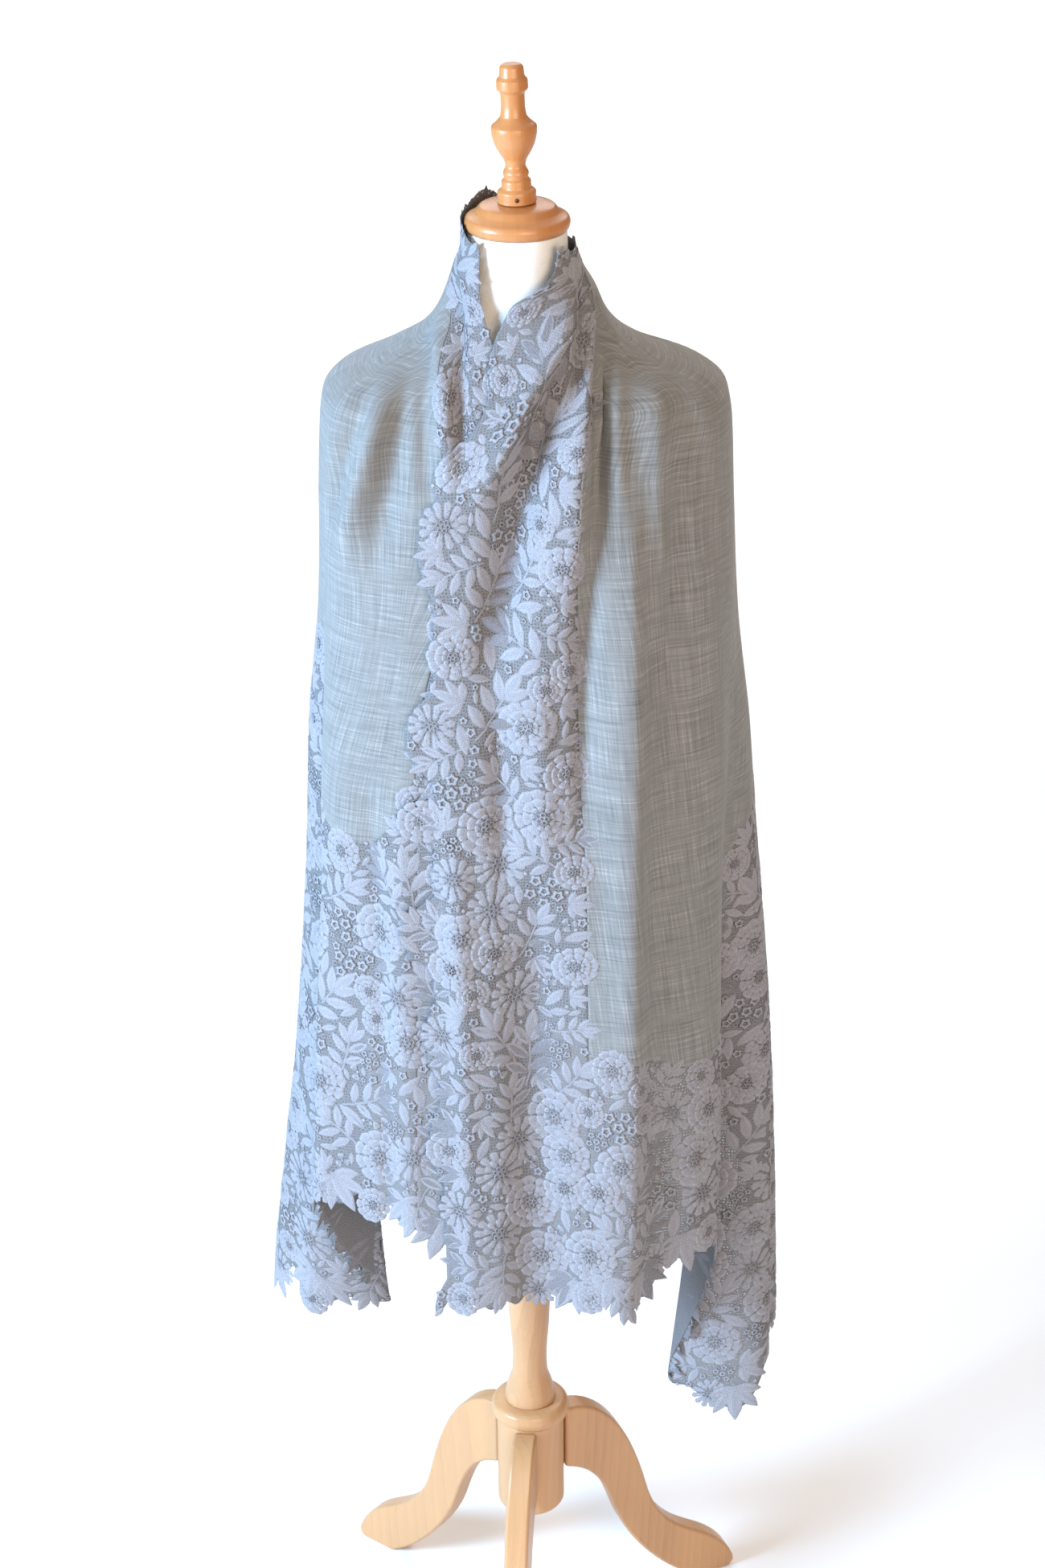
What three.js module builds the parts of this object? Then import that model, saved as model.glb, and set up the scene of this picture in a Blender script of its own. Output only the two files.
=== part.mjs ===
// A woven shawl with a wide lace border, draped over a limbless dress form on a turned tripod stand.
// Millimetres, +Z up. The front faces -Y and viewer's right is +X. While it is built, the stand's pole
// is the Z axis and the floor is z = 0. The finished group is moved so that its origin is the centre of
// the bottom of its box.
import * as THREE from 'three';

// Driving dimensions
const WOVEN_THICKNESS = 1.6;
const LACE_THICKNESS = 2.0;
const SEAM_GAP = 0.5;
const PIECE_GAP = 0.3;
const OVERLAP_LIFT = 9;

const CAP_BOTTOM = 1628;
const CAP_RADIUS = 49.2;
const CAP_STEP_RADIUS = 39.5;
const FINIAL_BASE = 1653;
const FINIAL_LEAN = THREE.MathUtils.degToRad(-1.8);
const TORSO_BOTTOM = 920;
const COLLAR_TOP = 308;
const COLLAR_HEIGHT = 22;
const COLLAR_RADIUS = 42.7;
const HUB_BOTTOM = 168;
const HUB_RADIUS = 36.7;
const LEG_THICKNESS = 26;
const LEG_REACH = 250;

// Bearings are degrees round the pole: 0 at the front, 90 at viewer's right, 180 at the back.
const LEG_BEARINGS = { leg_front: -8, leg_right: 112, leg_left: -128 };
const BACK_START = 110;
const BACK_END = 250;
const NECK_SIDE = 90;

function rows(columns, lines) {
  return lines.map((line) => Object.fromEntries(columns.map((name, i) => [name, line[i]])));
}

// Smooth curve through two columns of a table. Slopes are harmonic means, so it never overshoots a row.
function curve(table, key, column) {
  const points = table.map((row) => [row[key], row[column]]).sort((a, b) => a[0] - b[0]);
  const last = points.length - 1;
  const steps = [];
  for (let i = 0; i < last; i += 1) {
    steps.push((points[i + 1][1] - points[i][1]) / (points[i + 1][0] - points[i][0]));
  }
  const slopes = points.map((point, i) => {
    if (i === 0 || i === last) return steps[Math.min(i, last - 1)];
    const [before, after] = [steps[i - 1], steps[i]];
    return before * after <= 0 ? 0 : (2 * before * after) / (before + after);
  });
  return (value) => {
    if (value <= points[0][0]) return points[0][1];
    if (value >= points[last][0]) return points[last][1];
    const i = points.findIndex((point) => point[0] > value) - 1;
    const width = points[i + 1][0] - points[i][0];
    const t = (value - points[i][0]) / width;
    const rise = points[i + 1][1] - points[i][1];
    const bend = t * (1 - t) * ((1 - t) * (slopes[i] * width - rise) - t * (slopes[i + 1] * width - rise));
    return points[i][1] + rise * t + bend;
  };
}

const smoothstep = THREE.MathUtils.smoothstep;
const lerp = THREE.MathUtils.lerp;
const toRadians = THREE.MathUtils.degToRad;

// The shawl's level sections: half widths to each side, depth in front and behind, and squareness,
// the power of the superellipse that joins them.
const SECTIONS = rows(
  ['z', 'left', 'right', 'front', 'back', 'square'],
  [
    [1665, 53, 54, 54, 60, 2.0],
    [1640, 52, 53, 54, 61, 2.0],
    [1616, 52, 53, 55, 63, 2.0],
    [1594, 60, 60, 59, 68, 2.0],
    [1573, 67, 72, 64, 76, 2.0],
    [1550, 78, 82, 71, 85, 2.0],
    [1530, 96, 98, 81, 95, 2.1],
    [1510, 134, 130, 92, 104, 2.2],
    [1492, 172, 178, 103, 111, 2.5],
    [1475, 185, 196, 112, 117, 2.7],
    [1450, 188, 200, 120, 122, 2.8],
    [1380, 192, 203, 134, 130, 2.8],
    [1255, 198, 210, 141, 136, 2.7],
    [1125, 212, 225, 145, 140, 2.6],
    [990, 222, 238, 148, 144, 2.5],
    [900, 231, 248, 150, 147, 2.5],
    [755, 246, 260, 154, 150, 2.5],
    [610, 264, 267, 158, 154, 2.5],
    [460, 281, 272, 162, 158, 2.5],
    [300, 288, 276, 166, 162, 2.5],
  ],
);

// Folds that run down the front. Each follows a parabola through x at its top, middle and bottom, and
// has its own width on either side of the crest. A negative height is a trough. Tail is how much of it
// dies away towards its bottom.
const FRONT_FOLDS = rows(
  ['top', 'bottom', 'topX', 'middleX', 'bottomX', 'height', 'leftWidth', 'rightWidth', 'tail'],
  [
    [1580, 1390, 58, 0, -52, 9, 34, 20, 1],
    [1560, 1180, 46, -26, -34, -15, 18, 20, 1],
    [1560, 1100, 60, 36, -6, 9, 24, 22, 1],
    [1500, 500, 94, 103, 97, 17, 48, 34, 0],
    [1560, 1340, 76, 71, 68, -8, 16, 16, 1],
    [1550, 1330, -92, -118, -140, -8, 20, 22, 1],
    [1540, 1280, -126, -150, -160, 8, 26, 24, 1],
    [1060, 560, 8, 12, 14, -13, 32, 38, 0],
    [1060, 560, -48, -45, -44, 5, 26, 22, 0],
    [1080, 600, -170, -172, -168, -8, 24, 24, 0],
  ],
);

// Folds at the sides and back, which deepen from their top to the hem. Width is in degrees.
const HANGING_FOLDS = rows(
  ['top', 'bearing', 'bottomBearing', 'depth', 'width', 'reach'],
  [
    [1330, 75, 68, -118, 8, 940],
    [1390, -82, -76, -132, 7, 940],
    [1150, 89, 88, -30, 5, 760],
    [1150, -91, -88, -30, 5, 760],
    [1420, 104, 112, -16, 8, 800],
    [1420, 256, 248, -16, 8, 800],
    [1450, 128, 126, 15, 8, 760],
    [1440, 143, 145, -14, 8, 760],
    [1460, 160, 160, 13, 8, 760],
    [1440, 177, 180, -15, 9, 760],
    [1460, 196, 197, 14, 9, 760],
    [1440, 214, 214, -13, 8, 760],
    [1450, 231, 232, 15, 8, 760],
  ],
);

// Free edge of the panel that lies over: its mean line, then the flowers and leaves that stand out of it.
const OVER_EDGE = rows(
  ['z', 'x'],
  [
    [1630, 44],
    [1606, 37],
    [1590, 20],
    [1577, -4],
    [1560, -14],
    [1540, -23],
    [1500, -28],
    [1455, -56],
    [1420, -74],
    [1340, -82],
    [1200, -86],
    [900, -90],
    [700, -86],
    [500, -84],
  ],
);
const OVER_LOBES = rows(
  ['z', 'half', 'reach'],
  [
    [1437, 22, 14],
    [1366, 50, 18],
    [1178, 48, 32],
    [1090, 26, 34],
    [970, 40, 42],
    [850, 46, 14],
    [735, 46, 14],
    [540, 34, 14],
  ],
);
const UNDER_EDGE = rows(
  ['z', 'x'],
  [
    [1640, -48],
    [1592, -44],
    [1561, -34],
    [1541, -24],
    [1516, -8],
    [1470, 12],
    [1380, 26],
    [500, 26],
  ],
);

// Seams between the lace down the fronts and the woven cloth, as bearings at each height.
const OVER_SEAM = rows(
  ['z', 'bearing'],
  [
    [1600, 90],
    [1580, 70],
    [1550, 56],
    [1510, 39],
    [1490, 34],
    [1428, 23.5],
    [1350, 20.5],
    [1200, 20],
    [1000, 22],
    [820, 22],
    [500, 21],
  ],
);
const UNDER_SEAM = rows(
  ['z', 'bearing'],
  [
    [1600, -90],
    [1575, -72],
    [1550, -57],
    [1510, -42],
    [1480, -35],
    [1400, -27],
    [1300, -29],
    [1150, -37],
    [500, -37],
  ],
);

// Lines that run round the shawl, by bearing: the top edge of the collar, the seam under the collar,
// the seam above the hem lace and the hem itself.
const COLLAR_EDGE = rows(
  ['bearing', 'z'],
  [
    [-90, 1640],
    [-40, 1622],
    [0, 1626],
    [90, 1612],
    [140, 1612],
    [180, 1632],
    [212, 1652],
    [240, 1642],
    [270, 1640],
  ],
);
const COLLAR_SEAM = rows(
  ['bearing', 'z'],
  [
    [-110, 1600],
    [110, 1600],
    [150, 1545],
    [180, 1525],
    [210, 1545],
    [250, 1600],
    [290, 1600],
  ],
);
const OVER_HEM_SEAM = rows(
  ['bearing', 'z'],
  [
    [-40, 840],
    [20, 838],
    [34, 832],
    [55, 806],
    [65, 850],
    [78, 1020],
    [95, 1056],
    [103, 1000],
    [110, 960],
    [130, 910],
    [180, 900],
    [230, 910],
    [250, 1010],
  ],
);
const UNDER_HEM_SEAM = rows(
  ['bearing', 'z'],
  [
    [-110, 1010],
    [-101, 1160],
    [-90, 1235],
    [-78, 1150],
    [-66, 1062],
    [-53, 1052],
    [-45, 1075],
    [-37, 1128],
    [15, 1128],
  ],
);
const OVER_HEM = rows(
  ['bearing', 'z'],
  [
    [-40, 536],
    [-20, 560],
    [0, 560],
    [20, 560],
    [36, 556],
    [44, 594],
    [57, 602],
    [61, 560],
    [66, 400],
    [71, 342],
    [76, 338],
    [83, 420],
    [91, 396],
    [100, 452],
    [110, 580],
    [122, 684],
    [150, 706],
    [180, 700],
    [210, 706],
    [238, 684],
    [250, 592],
  ],
);
const UNDER_HEM = rows(
  ['bearing', 'z'],
  [
    [-110, 592],
    [-104, 490],
    [-96, 462],
    [-90, 484],
    [-84, 462],
    [-77, 458],
    [-73, 500],
    [-68, 632],
    [-58, 656],
    [-42, 648],
    [-30, 624],
    [15, 636],
  ],
);
const SCALLOP = { pitch: 9, depth: 16 };

const section = Object.fromEntries(
  ['left', 'right', 'front', 'back', 'square'].map((column) => [column, curve(SECTIONS, 'z', column)]),
);
const overEdge = curve(OVER_EDGE, 'z', 'x');
const underEdge = curve(UNDER_EDGE, 'z', 'x');
const overSeam = curve(OVER_SEAM, 'z', 'bearing');
const underSeam = curve(UNDER_SEAM, 'z', 'bearing');
const collarEdge = curve(COLLAR_EDGE, 'bearing', 'z');
const collarSeam = curve(COLLAR_SEAM, 'bearing', 'z');
const overHemSeam = curve(OVER_HEM_SEAM, 'bearing', 'z');
const underHemSeam = curve(UNDER_HEM_SEAM, 'bearing', 'z');
const overHem = curve(OVER_HEM, 'bearing', 'z');
const underHem = curve(UNDER_HEM, 'bearing', 'z');

// How far the front folds move the cloth out at x on the level z.
function frontFolds(x, z) {
  let out = 0;
  for (const fold of FRONT_FOLDS) {
    const t = (fold.top - z) / (fold.top - fold.bottom);
    if (t <= 0 || (t >= 1 && fold.tail === 1)) continue;
    const s = Math.min(t, 1);
    const bend = 2 * (fold.topX + fold.bottomX - 2 * fold.middleX);
    const crest = fold.topX + (fold.bottomX - fold.topX - bend / 2) * s + (bend * s * s) / 2;
    const width = x < crest ? fold.leftWidth : fold.rightWidth;
    const strength = smoothstep(s, 0, 0.3) * (1 - fold.tail * smoothstep(s, 0.6, 1));
    out += fold.height * strength * Math.exp(-(((x - crest) / width) ** 2));
  }
  return out;
}

// How far the hanging folds move the cloth out at a bearing on the level z.
function hangingFolds(bearing, z) {
  let out = 0;
  for (const fold of HANGING_FOLDS) {
    const t = Math.max(fold.top - z, 0) / fold.reach;
    const place = lerp(fold.bearing, fold.bottomBearing, Math.min(t, 1));
    const away = THREE.MathUtils.euclideanModulo(bearing - place + 180, 360) - 180;
    out += fold.depth * Math.min(t, 1.1) ** 1.3 * Math.exp(-((away / fold.width) ** 2));
  }
  return out;
}

// One point of the shawl's middle surface: a superellipse ring, moved along its own normal by the folds
// and, on the panel that lies over, by the lift that clears the panel below it.
function shawlPoint(bearing, z, isOver) {
  const angle = toRadians(bearing);
  const [across, along] = [Math.sin(angle), Math.cos(angle)];
  const side = across < 0 ? section.left(z) : section.right(z);
  const depth = along > 0 ? section.front(z) : section.back(z);
  const power = section.square(z);
  const radius = ((Math.abs(across) / side) ** power + (Math.abs(along) / depth) ** power) ** (-1 / power);
  const x = radius * across;
  const y = -radius * along;
  const normal = new THREE.Vector2(
    (Math.sign(x) * Math.abs(x / side) ** (power - 1)) / side,
    (Math.sign(y) * Math.abs(y / depth) ** (power - 1)) / depth,
  ).normalize();
  const inFront = smoothstep(along, 0.1, 0.4);
  let out = hangingFolds(bearing, z) + inFront * frontFolds(x, z);
  if (isOver) out += OVERLAP_LIFT * inFront * (1 - smoothstep(x, 45, 85));
  return new THREE.Vector3(x + normal.x * out, y + normal.y * out, z);
}

// The outer and inner wall points at a place on the shawl, half a thickness either side along the normal.
function wallPoint(bearing, z, isOver, thickness) {
  const [turn, drop] = [0.5, 2];
  const aside = shawlPoint(bearing + turn, z, isOver).sub(shawlPoint(bearing - turn, z, isOver));
  const down = shawlPoint(bearing, z - drop, isOver).sub(shawlPoint(bearing, z + drop, isOver));
  const offset = down.cross(aside).setLength(thickness / 2);
  const middle = shawlPoint(bearing, z, isOver);
  return { outer: middle.clone().add(offset), inner: middle.clone().sub(offset) };
}

// Puts every second point of a border on the straight line between its neighbours, so that the border
// meets a piece that has half as many points.
function straightenBorder(points) {
  for (let i = 1; i < points.length - 1; i += 2) {
    points[i].outer.lerpVectors(points[i - 1].outer, points[i + 1].outer, 0.5);
    points[i].inner.lerpVectors(points[i - 1].inner, points[i + 1].inner, 0.5);
  }
}

// Closed wall from a grid of wall points, rows from top to bottom and columns towards rising bearings.
function wallGeometry(grid) {
  const [rowCount, columnCount] = [grid.length, grid[0].length];
  const positions = grid.flat().flatMap(({ outer, inner }) => [...outer.toArray(), ...inner.toArray()]);
  const outerAt = (j, i) => 2 * (j * columnCount + i);
  const innerAt = (j, i) => outerAt(j, i) + 1;
  const triangles = [];
  const quad = (a, b, c, d) => triangles.push(a, b, c, a, c, d);
  for (let j = 0; j < rowCount - 1; j += 1) {
    for (let i = 0; i < columnCount - 1; i += 1) {
      quad(outerAt(j, i), outerAt(j + 1, i), outerAt(j + 1, i + 1), outerAt(j, i + 1));
      quad(innerAt(j, i), innerAt(j, i + 1), innerAt(j + 1, i + 1), innerAt(j + 1, i));
    }
    const end = columnCount - 1;
    quad(outerAt(j, 0), innerAt(j, 0), innerAt(j + 1, 0), outerAt(j + 1, 0));
    quad(outerAt(j, end), outerAt(j + 1, end), innerAt(j + 1, end), innerAt(j, end));
  }
  for (let i = 0; i < columnCount - 1; i += 1) {
    const end = rowCount - 1;
    quad(outerAt(0, i), outerAt(0, i + 1), innerAt(0, i + 1), innerAt(0, i));
    quad(outerAt(end, i), innerAt(end, i), innerAt(end, i + 1), outerAt(end, i + 1));
  }
  const geometry = new THREE.BufferGeometry();
  geometry.setAttribute('position', new THREE.Float32BufferAttribute(positions, 3));
  geometry.setIndex(triangles);
  geometry.computeVertexNormals();
  return geometry;
}

// Grid of wall points. Levels are functions that give a height for a bearing. Where the ends of a row
// depend on its height, a few passes settle the two.
function wallGrid({ levels, steps, bearingAt, isOver, thickness }) {
  return levels.map((level) =>
    steps.map((step) => {
      let bearing = bearingAt(step, 1000);
      let z = level(bearing);
      for (let pass = 0; pass < 6; pass += 1) {
        bearing = bearingAt(step, z);
        z = level(bearing);
      }
      return wallPoint(bearing, z, isOver, thickness);
    }),
  );
}

const evenSteps = (count) => Array.from({ length: count + 1 }, (unused, i) => i / count);

// How far up or down a piece keeps from a seam line, so that half the gap is left across a sloping seam.
function seamRoom(line, bearing) {
  const [turn, degreeLength] = [0.5, 3.5];
  const slope = (line(bearing + turn) - line(bearing - turn)) / (2 * turn * degreeLength);
  return halfGap * Math.hypot(1, slope);
}

// Levels between two lines, with room left at each end that is sewn to another piece.
function levelsBetween(topLine, bottomLine, shares, topSewn, bottomSewn) {
  return shares.map((share) => (bearing) => {
    const top = topLine(bearing) - (topSewn ? seamRoom(topLine, bearing) : 0);
    const bottom = bottomLine(bearing) + (bottomSewn ? seamRoom(bottomLine, bearing) : 0);
    return lerp(top, bottom, share);
  });
}

const COLLAR_ROWS = 3;
const BODY_ROWS = 16;
const HEM_ROWS = 7;
const BODY_SPREAD = 1.35;
const halfGap = SEAM_GAP / 2;
const bodyShares = (count) => evenSteps(count).map((share) => share ** BODY_SPREAD);
const gapTurn = (z) => THREE.MathUtils.radToDeg(halfGap / Math.min(section.left(z), section.front(z)));
const bearingOfX = (x, z) => THREE.MathUtils.radToDeg(Math.atan2(x, section.front(z)));

function overEdgeBearing(z) {
  let x = overEdge(z);
  for (const lobe of OVER_LOBES) {
    const away = Math.min(Math.abs((z - lobe.z) / lobe.half), 1);
    x -= lobe.reach * (1 - away ** 2);
  }
  return bearingOfX(x, z);
}

const underEdgeBearing = (z) => bearingOfX(underEdge(z), z);

const scallop = (bearing) => SCALLOP.depth * Math.abs(Math.sin((Math.PI * bearing) / SCALLOP.pitch));
const overHemEdge = (bearing) => overHem(bearing) - scallop(bearing);
const underHemEdge = (bearing) => underHem(bearing) - scallop(bearing);

// Lace down a front, from the collar to the hem, between its free edge and its seam. It has twice as
// many rows as the pieces it is sewn to.
function frontLace(edgeBearing, seamBearing, hemSeam, hemEdge, isOver, columns) {
  const away = isOver ? 1 : -1;
  const levels = [
    ...levelsBetween(collarEdge, collarSeam, evenSteps(2 * COLLAR_ROWS), false, true),
    ...levelsBetween(collarSeam, hemSeam, bodyShares(2 * BODY_ROWS), true, true),
    ...levelsBetween(hemSeam, hemEdge, evenSteps(2 * HEM_ROWS), true, false),
  ];
  const seamSide = (z) => seamBearing(z) - away * gapTurn(z);
  const grid = wallGrid({
    levels,
    steps: isOver ? evenSteps(columns) : evenSteps(columns).reverse(),
    bearingAt: (step, z) => lerp(edgeBearing(z), seamSide(z), step),
    isOver,
    thickness: LACE_THICKNESS,
  });
  const border = grid.map((row) => row.at(isOver ? -1 : 0));
  const bodyStart = 2 * COLLAR_ROWS + 1;
  const hemStart = bodyStart + 2 * BODY_ROWS + 1;
  straightenBorder(border.slice(0, bodyStart));
  straightenBorder(border.slice(bodyStart, hemStart));
  straightenBorder(border.slice(hemStart));
  return wallGeometry(grid);
}

// A stretch between two bearings, from one line down to another.
function stretch({ from, to, top, bottom, shares, columns, isOver, thickness, isHem }) {
  const grid = wallGrid({
    levels: levelsBetween(top, bottom, shares, true, !isHem),
    steps: evenSteps(columns),
    bearingAt: (step, z) => lerp(from(z) + gapTurn(z), to(z) - gapTurn(z), step),
    isOver,
    thickness,
  });
  if (isHem) straightenBorder(grid[0]);
  return wallGeometry(grid);
}

const wovenStretch = (options) =>
  stretch({
    top: collarSeam,
    shares: bodyShares(BODY_ROWS),
    thickness: WOVEN_THICKNESS,
    isHem: false,
    ...options,
  });
const hemStretch = (options) =>
  stretch({
    shares: evenSteps(HEM_ROWS),
    thickness: LACE_THICKNESS,
    isHem: true,
    ...options,
  });

const fixed = (bearing) => () => bearing;
const FRONT_COLUMNS = { right: 20, left: 17 };
const BACK_COLUMNS = 18;

// Collar behind the neck. Below it, its columns are those of the woven back.
function backCollar() {
  const backSteps = evenSteps(BACK_COLUMNS).map((step) => lerp(BACK_START, BACK_END, step));
  const sideTurn = (BACK_START - NECK_SIDE) / 2;
  const bearings = [NECK_SIDE, NECK_SIDE + sideTurn, ...backSteps, BACK_END + sideTurn, 360 - NECK_SIDE];
  const gap = gapTurn(CAP_BOTTOM);
  bearings[0] += gap;
  bearings[bearings.length - 1] -= gap;
  return wallGeometry(
    wallGrid({
      levels: levelsBetween(collarEdge, collarSeam, evenSteps(COLLAR_ROWS), false, true),
      steps: bearings,
      bearingAt: (bearing) => bearing,
      isOver: false,
      thickness: LACE_THICKNESS,
    }),
  );
}

const lathe = (profile, segments) =>
  new THREE.LatheGeometry(profile.map(([radius, z]) => new THREE.Vector2(radius, z)), segments).rotateX(
    Math.PI / 2,
  );

// Turned finial: height above its base and radius, from the base up.
const FINIAL_PROFILE = rows(
  ['z', 'radius'],
  [
    [0, 18],
    [11, 18],
    [14, 14],
    [20, 13.6],
    [23, 11.4],
    [27, 12],
    [34, 9.4],
    [39, 10.4],
    [46, 14.5],
    [56, 19.2],
    [67, 21.2],
    [70, 21],
    [75, 16],
    [80, 12.2],
    [90, 11],
    [100, 11.2],
    [105, 14.6],
    [112, 14.4],
    [116, 11.8],
    [124, 10.8],
    [127, 8],
  ],
);

function finialGeometry() {
  const side = FINIAL_PROFILE.map(({ z, radius }) => [radius, z]);
  return lathe([[0, 0], ...side, [0, FINIAL_PROFILE.at(-1).z]], 20);
}

function neckCapGeometry() {
  const top = FINIAL_BASE - PIECE_GAP - CAP_BOTTOM;
  const rim = 15;
  return lathe(
    [
      [0, 0],
      [CAP_RADIUS - 4, 0],
      [CAP_RADIUS - 1, 2.5],
      [CAP_RADIUS, rim / 2],
      [CAP_RADIUS - 1.5, rim - 3],
      [CAP_STEP_RADIUS + 3, rim],
      [CAP_STEP_RADIUS, rim + 2],
      [CAP_STEP_RADIUS - 5, top - 2],
      [24, top],
      [0, top],
    ],
    28,
  );
}

// The padded linen form: level sections from the neck down, a plain figure with no limbs.
const TORSO = rows(
  ['z', 'side', 'front', 'back', 'square'],
  [
    [CAP_BOTTOM - PIECE_GAP, 46, 46, 46, 2.0],
    [1600, 47, 47, 49, 2.0],
    [1576, 52, 50, 58, 2.0],
    [1556, 64, 55, 69, 2.0],
    [1538, 80, 62, 80, 2.0],
    [1520, 104, 72, 88, 2.1],
    [1504, 134, 81, 95, 2.2],
    [1488, 162, 90, 101, 2.4],
    [1470, 175, 97, 105, 2.6],
    [1440, 174, 103, 107, 2.5],
    [1390, 165, 111, 106, 2.4],
    [1330, 152, 116, 100, 2.3],
    [1260, 134, 102, 92, 2.2],
    [1200, 122, 88, 86, 2.2],
    [1120, 140, 96, 97, 2.2],
    [1040, 156, 106, 110, 2.2],
    [960, 158, 107, 110, 2.2],
    [TORSO_BOTTOM, 154, 103, 106, 2.2],
  ],
);

function torsoGeometry() {
  const segments = 28;
  const positions = [];
  for (const { z, side, front, back, square } of TORSO) {
    for (let i = 0; i < segments; i += 1) {
      const angle = (2 * Math.PI * i) / segments;
      const [across, along] = [Math.sin(angle), Math.cos(angle)];
      const depth = along > 0 ? front : back;
      const terms = (Math.abs(across) / side) ** square + (Math.abs(along) / depth) ** square;
      const radius = terms ** (-1 / square);
      positions.push(radius * across, -radius * along, z);
    }
  }
  const last = TORSO.length - 1;
  const topCentre = positions.length / 3;
  positions.push(0, 0, TORSO[0].z, 0, 0, TORSO[last].z);
  const triangles = [];
  for (let i = 0; i < segments; i += 1) {
    const next = (i + 1) % segments;
    for (let j = 0; j < last; j += 1) {
      const [a, b] = [j * segments + i, j * segments + next];
      triangles.push(a, a + segments, b + segments, a, b + segments, b);
    }
    triangles.push(topCentre, i, next);
    triangles.push(topCentre + 1, last * segments + next, last * segments + i);
  }
  const geometry = new THREE.BufferGeometry();
  geometry.setAttribute('position', new THREE.Float32BufferAttribute(positions, 3));
  geometry.setIndex(triangles);
  geometry.computeVertexNormals();
  return geometry;
}

// Turned pole, from the collar ring up to the form: it swells above its foot and narrows again.
function poleGeometry() {
  const bottom = COLLAR_TOP + PIECE_GAP;
  const top = TORSO_BOTTOM - PIECE_GAP;
  return lathe(
    [
      [0, bottom],
      [28, bottom],
      [27, 317],
      [23.4, 331],
      [19.2, 345],
      [18.5, 362],
      [21.5, 412],
      [24.5, 480],
      [25.5, 560],
      [22, 760],
      [18, top],
      [0, top],
    ],
    20,
  );
}

function collarRingGeometry() {
  const bottom = COLLAR_TOP - COLLAR_HEIGHT;
  const round = 6;
  return lathe(
    [
      [0, bottom],
      [COLLAR_RADIUS - round, bottom],
      [COLLAR_RADIUS - 1.5, bottom + 4],
      [COLLAR_RADIUS, bottom + COLLAR_HEIGHT / 2],
      [COLLAR_RADIUS - 1.5, COLLAR_TOP - 5],
      [COLLAR_RADIUS - round, COLLAR_TOP - 1],
      [COLLAR_RADIUS - 10, COLLAR_TOP],
      [0, COLLAR_TOP],
    ],
    24,
  );
}

function hubGeometry() {
  const top = COLLAR_TOP - COLLAR_HEIGHT - PIECE_GAP;
  return lathe(
    [
      [0, HUB_BOTTOM],
      [HUB_RADIUS - 7, HUB_BOTTOM],
      [HUB_RADIUS - 2, HUB_BOTTOM + 2],
      [HUB_RADIUS, HUB_BOTTOM + 7],
      [HUB_RADIUS, top],
      [0, top],
    ],
    24,
  );
}

// Cabriole leg: a board cut to a double curve in its own upright plane, from the hub out to the toe.
function legGeometry() {
  const root = HUB_RADIUS + PIECE_GAP;
  const top = COLLAR_TOP - COLLAR_HEIGHT - PIECE_GAP;
  const outline = new THREE.Shape();
  outline.moveTo(root, top);
  outline.lineTo(52, top);
  outline.bezierCurveTo(98, 276, 122, 214, 137, 152);
  outline.bezierCurveTo(150, 96, 178, 80, 206, 62);
  outline.bezierCurveTo(232, 46, LEG_REACH - 4, 26, LEG_REACH, 8);
  outline.lineTo(LEG_REACH - 6, 0);
  outline.lineTo(200, 0);
  outline.bezierCurveTo(160, 22, 118, 74, 102, 118);
  outline.bezierCurveTo(88, 160, 78, 196, root, 206);
  outline.closePath();
  const board = new THREE.ExtrudeGeometry(outline, {
    depth: LEG_THICKNESS,
    bevelEnabled: false,
    curveSegments: 8,
  });
  return board.translate(0, 0, -LEG_THICKNESS / 2).rotateX(Math.PI / 2);
}

const finish = (color, roughness) => new THREE.MeshStandardMaterial({ color, roughness, metalness: 0 });
const WOVEN = finish(0xa3a8aa, 0.9);
const LACE = finish(0xb4bfcf, 0.85);
const LINEN = finish(0xeae6de, 0.95);
const HONEY_WOOD = finish(0xd8975a, 0.45);
const TAN_WOOD = finish(0xdcb184, 0.5);

const part = new THREE.Group();

function addPiece(name, geometry, material) {
  const piece = new THREE.Mesh(geometry, material);
  piece.name = name;
  part.add(piece);
  return piece;
}

const finial = addPiece('finial', finialGeometry(), HONEY_WOOD);
finial.position.z = FINIAL_BASE + 2 * PIECE_GAP;
finial.rotation.y = FINIAL_LEAN;
addPiece('neck_cap', neckCapGeometry(), HONEY_WOOD).position.z = CAP_BOTTOM;
addPiece('torso', torsoGeometry(), LINEN);
addPiece('pole', poleGeometry(), TAN_WOOD);
addPiece('collar_ring', collarRingGeometry(), TAN_WOOD);
addPiece('hub', hubGeometry(), TAN_WOOD);
for (const [name, bearing] of Object.entries(LEG_BEARINGS)) {
  const leg = addPiece(name, legGeometry(), TAN_WOOD);
  leg.rotation.z = toRadians(bearing - 90);
}

addPiece('lace_front_right', frontLace(overEdgeBearing, overSeam, overHemSeam, overHemEdge, true, 10), LACE);
addPiece('lace_front_left', frontLace(underEdgeBearing, underSeam, underHemSeam, underHemEdge, false, 7), LACE);
addPiece('lace_collar_back', backCollar(), LACE);
addPiece(
  'woven_front_right',
  wovenStretch({
    from: overSeam,
    to: fixed(BACK_START),
    bottom: overHemSeam,
    columns: FRONT_COLUMNS.right,
    isOver: true,
  }),
  WOVEN,
);
addPiece(
  'woven_front_left',
  wovenStretch({
    from: fixed(BACK_END - 360),
    to: underSeam,
    bottom: underHemSeam,
    columns: FRONT_COLUMNS.left,
    isOver: false,
  }),
  WOVEN,
);
addPiece(
  'woven_back',
  wovenStretch({
    from: fixed(BACK_START),
    to: fixed(BACK_END),
    bottom: overHemSeam,
    columns: BACK_COLUMNS,
    isOver: false,
  }),
  WOVEN,
);
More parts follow.
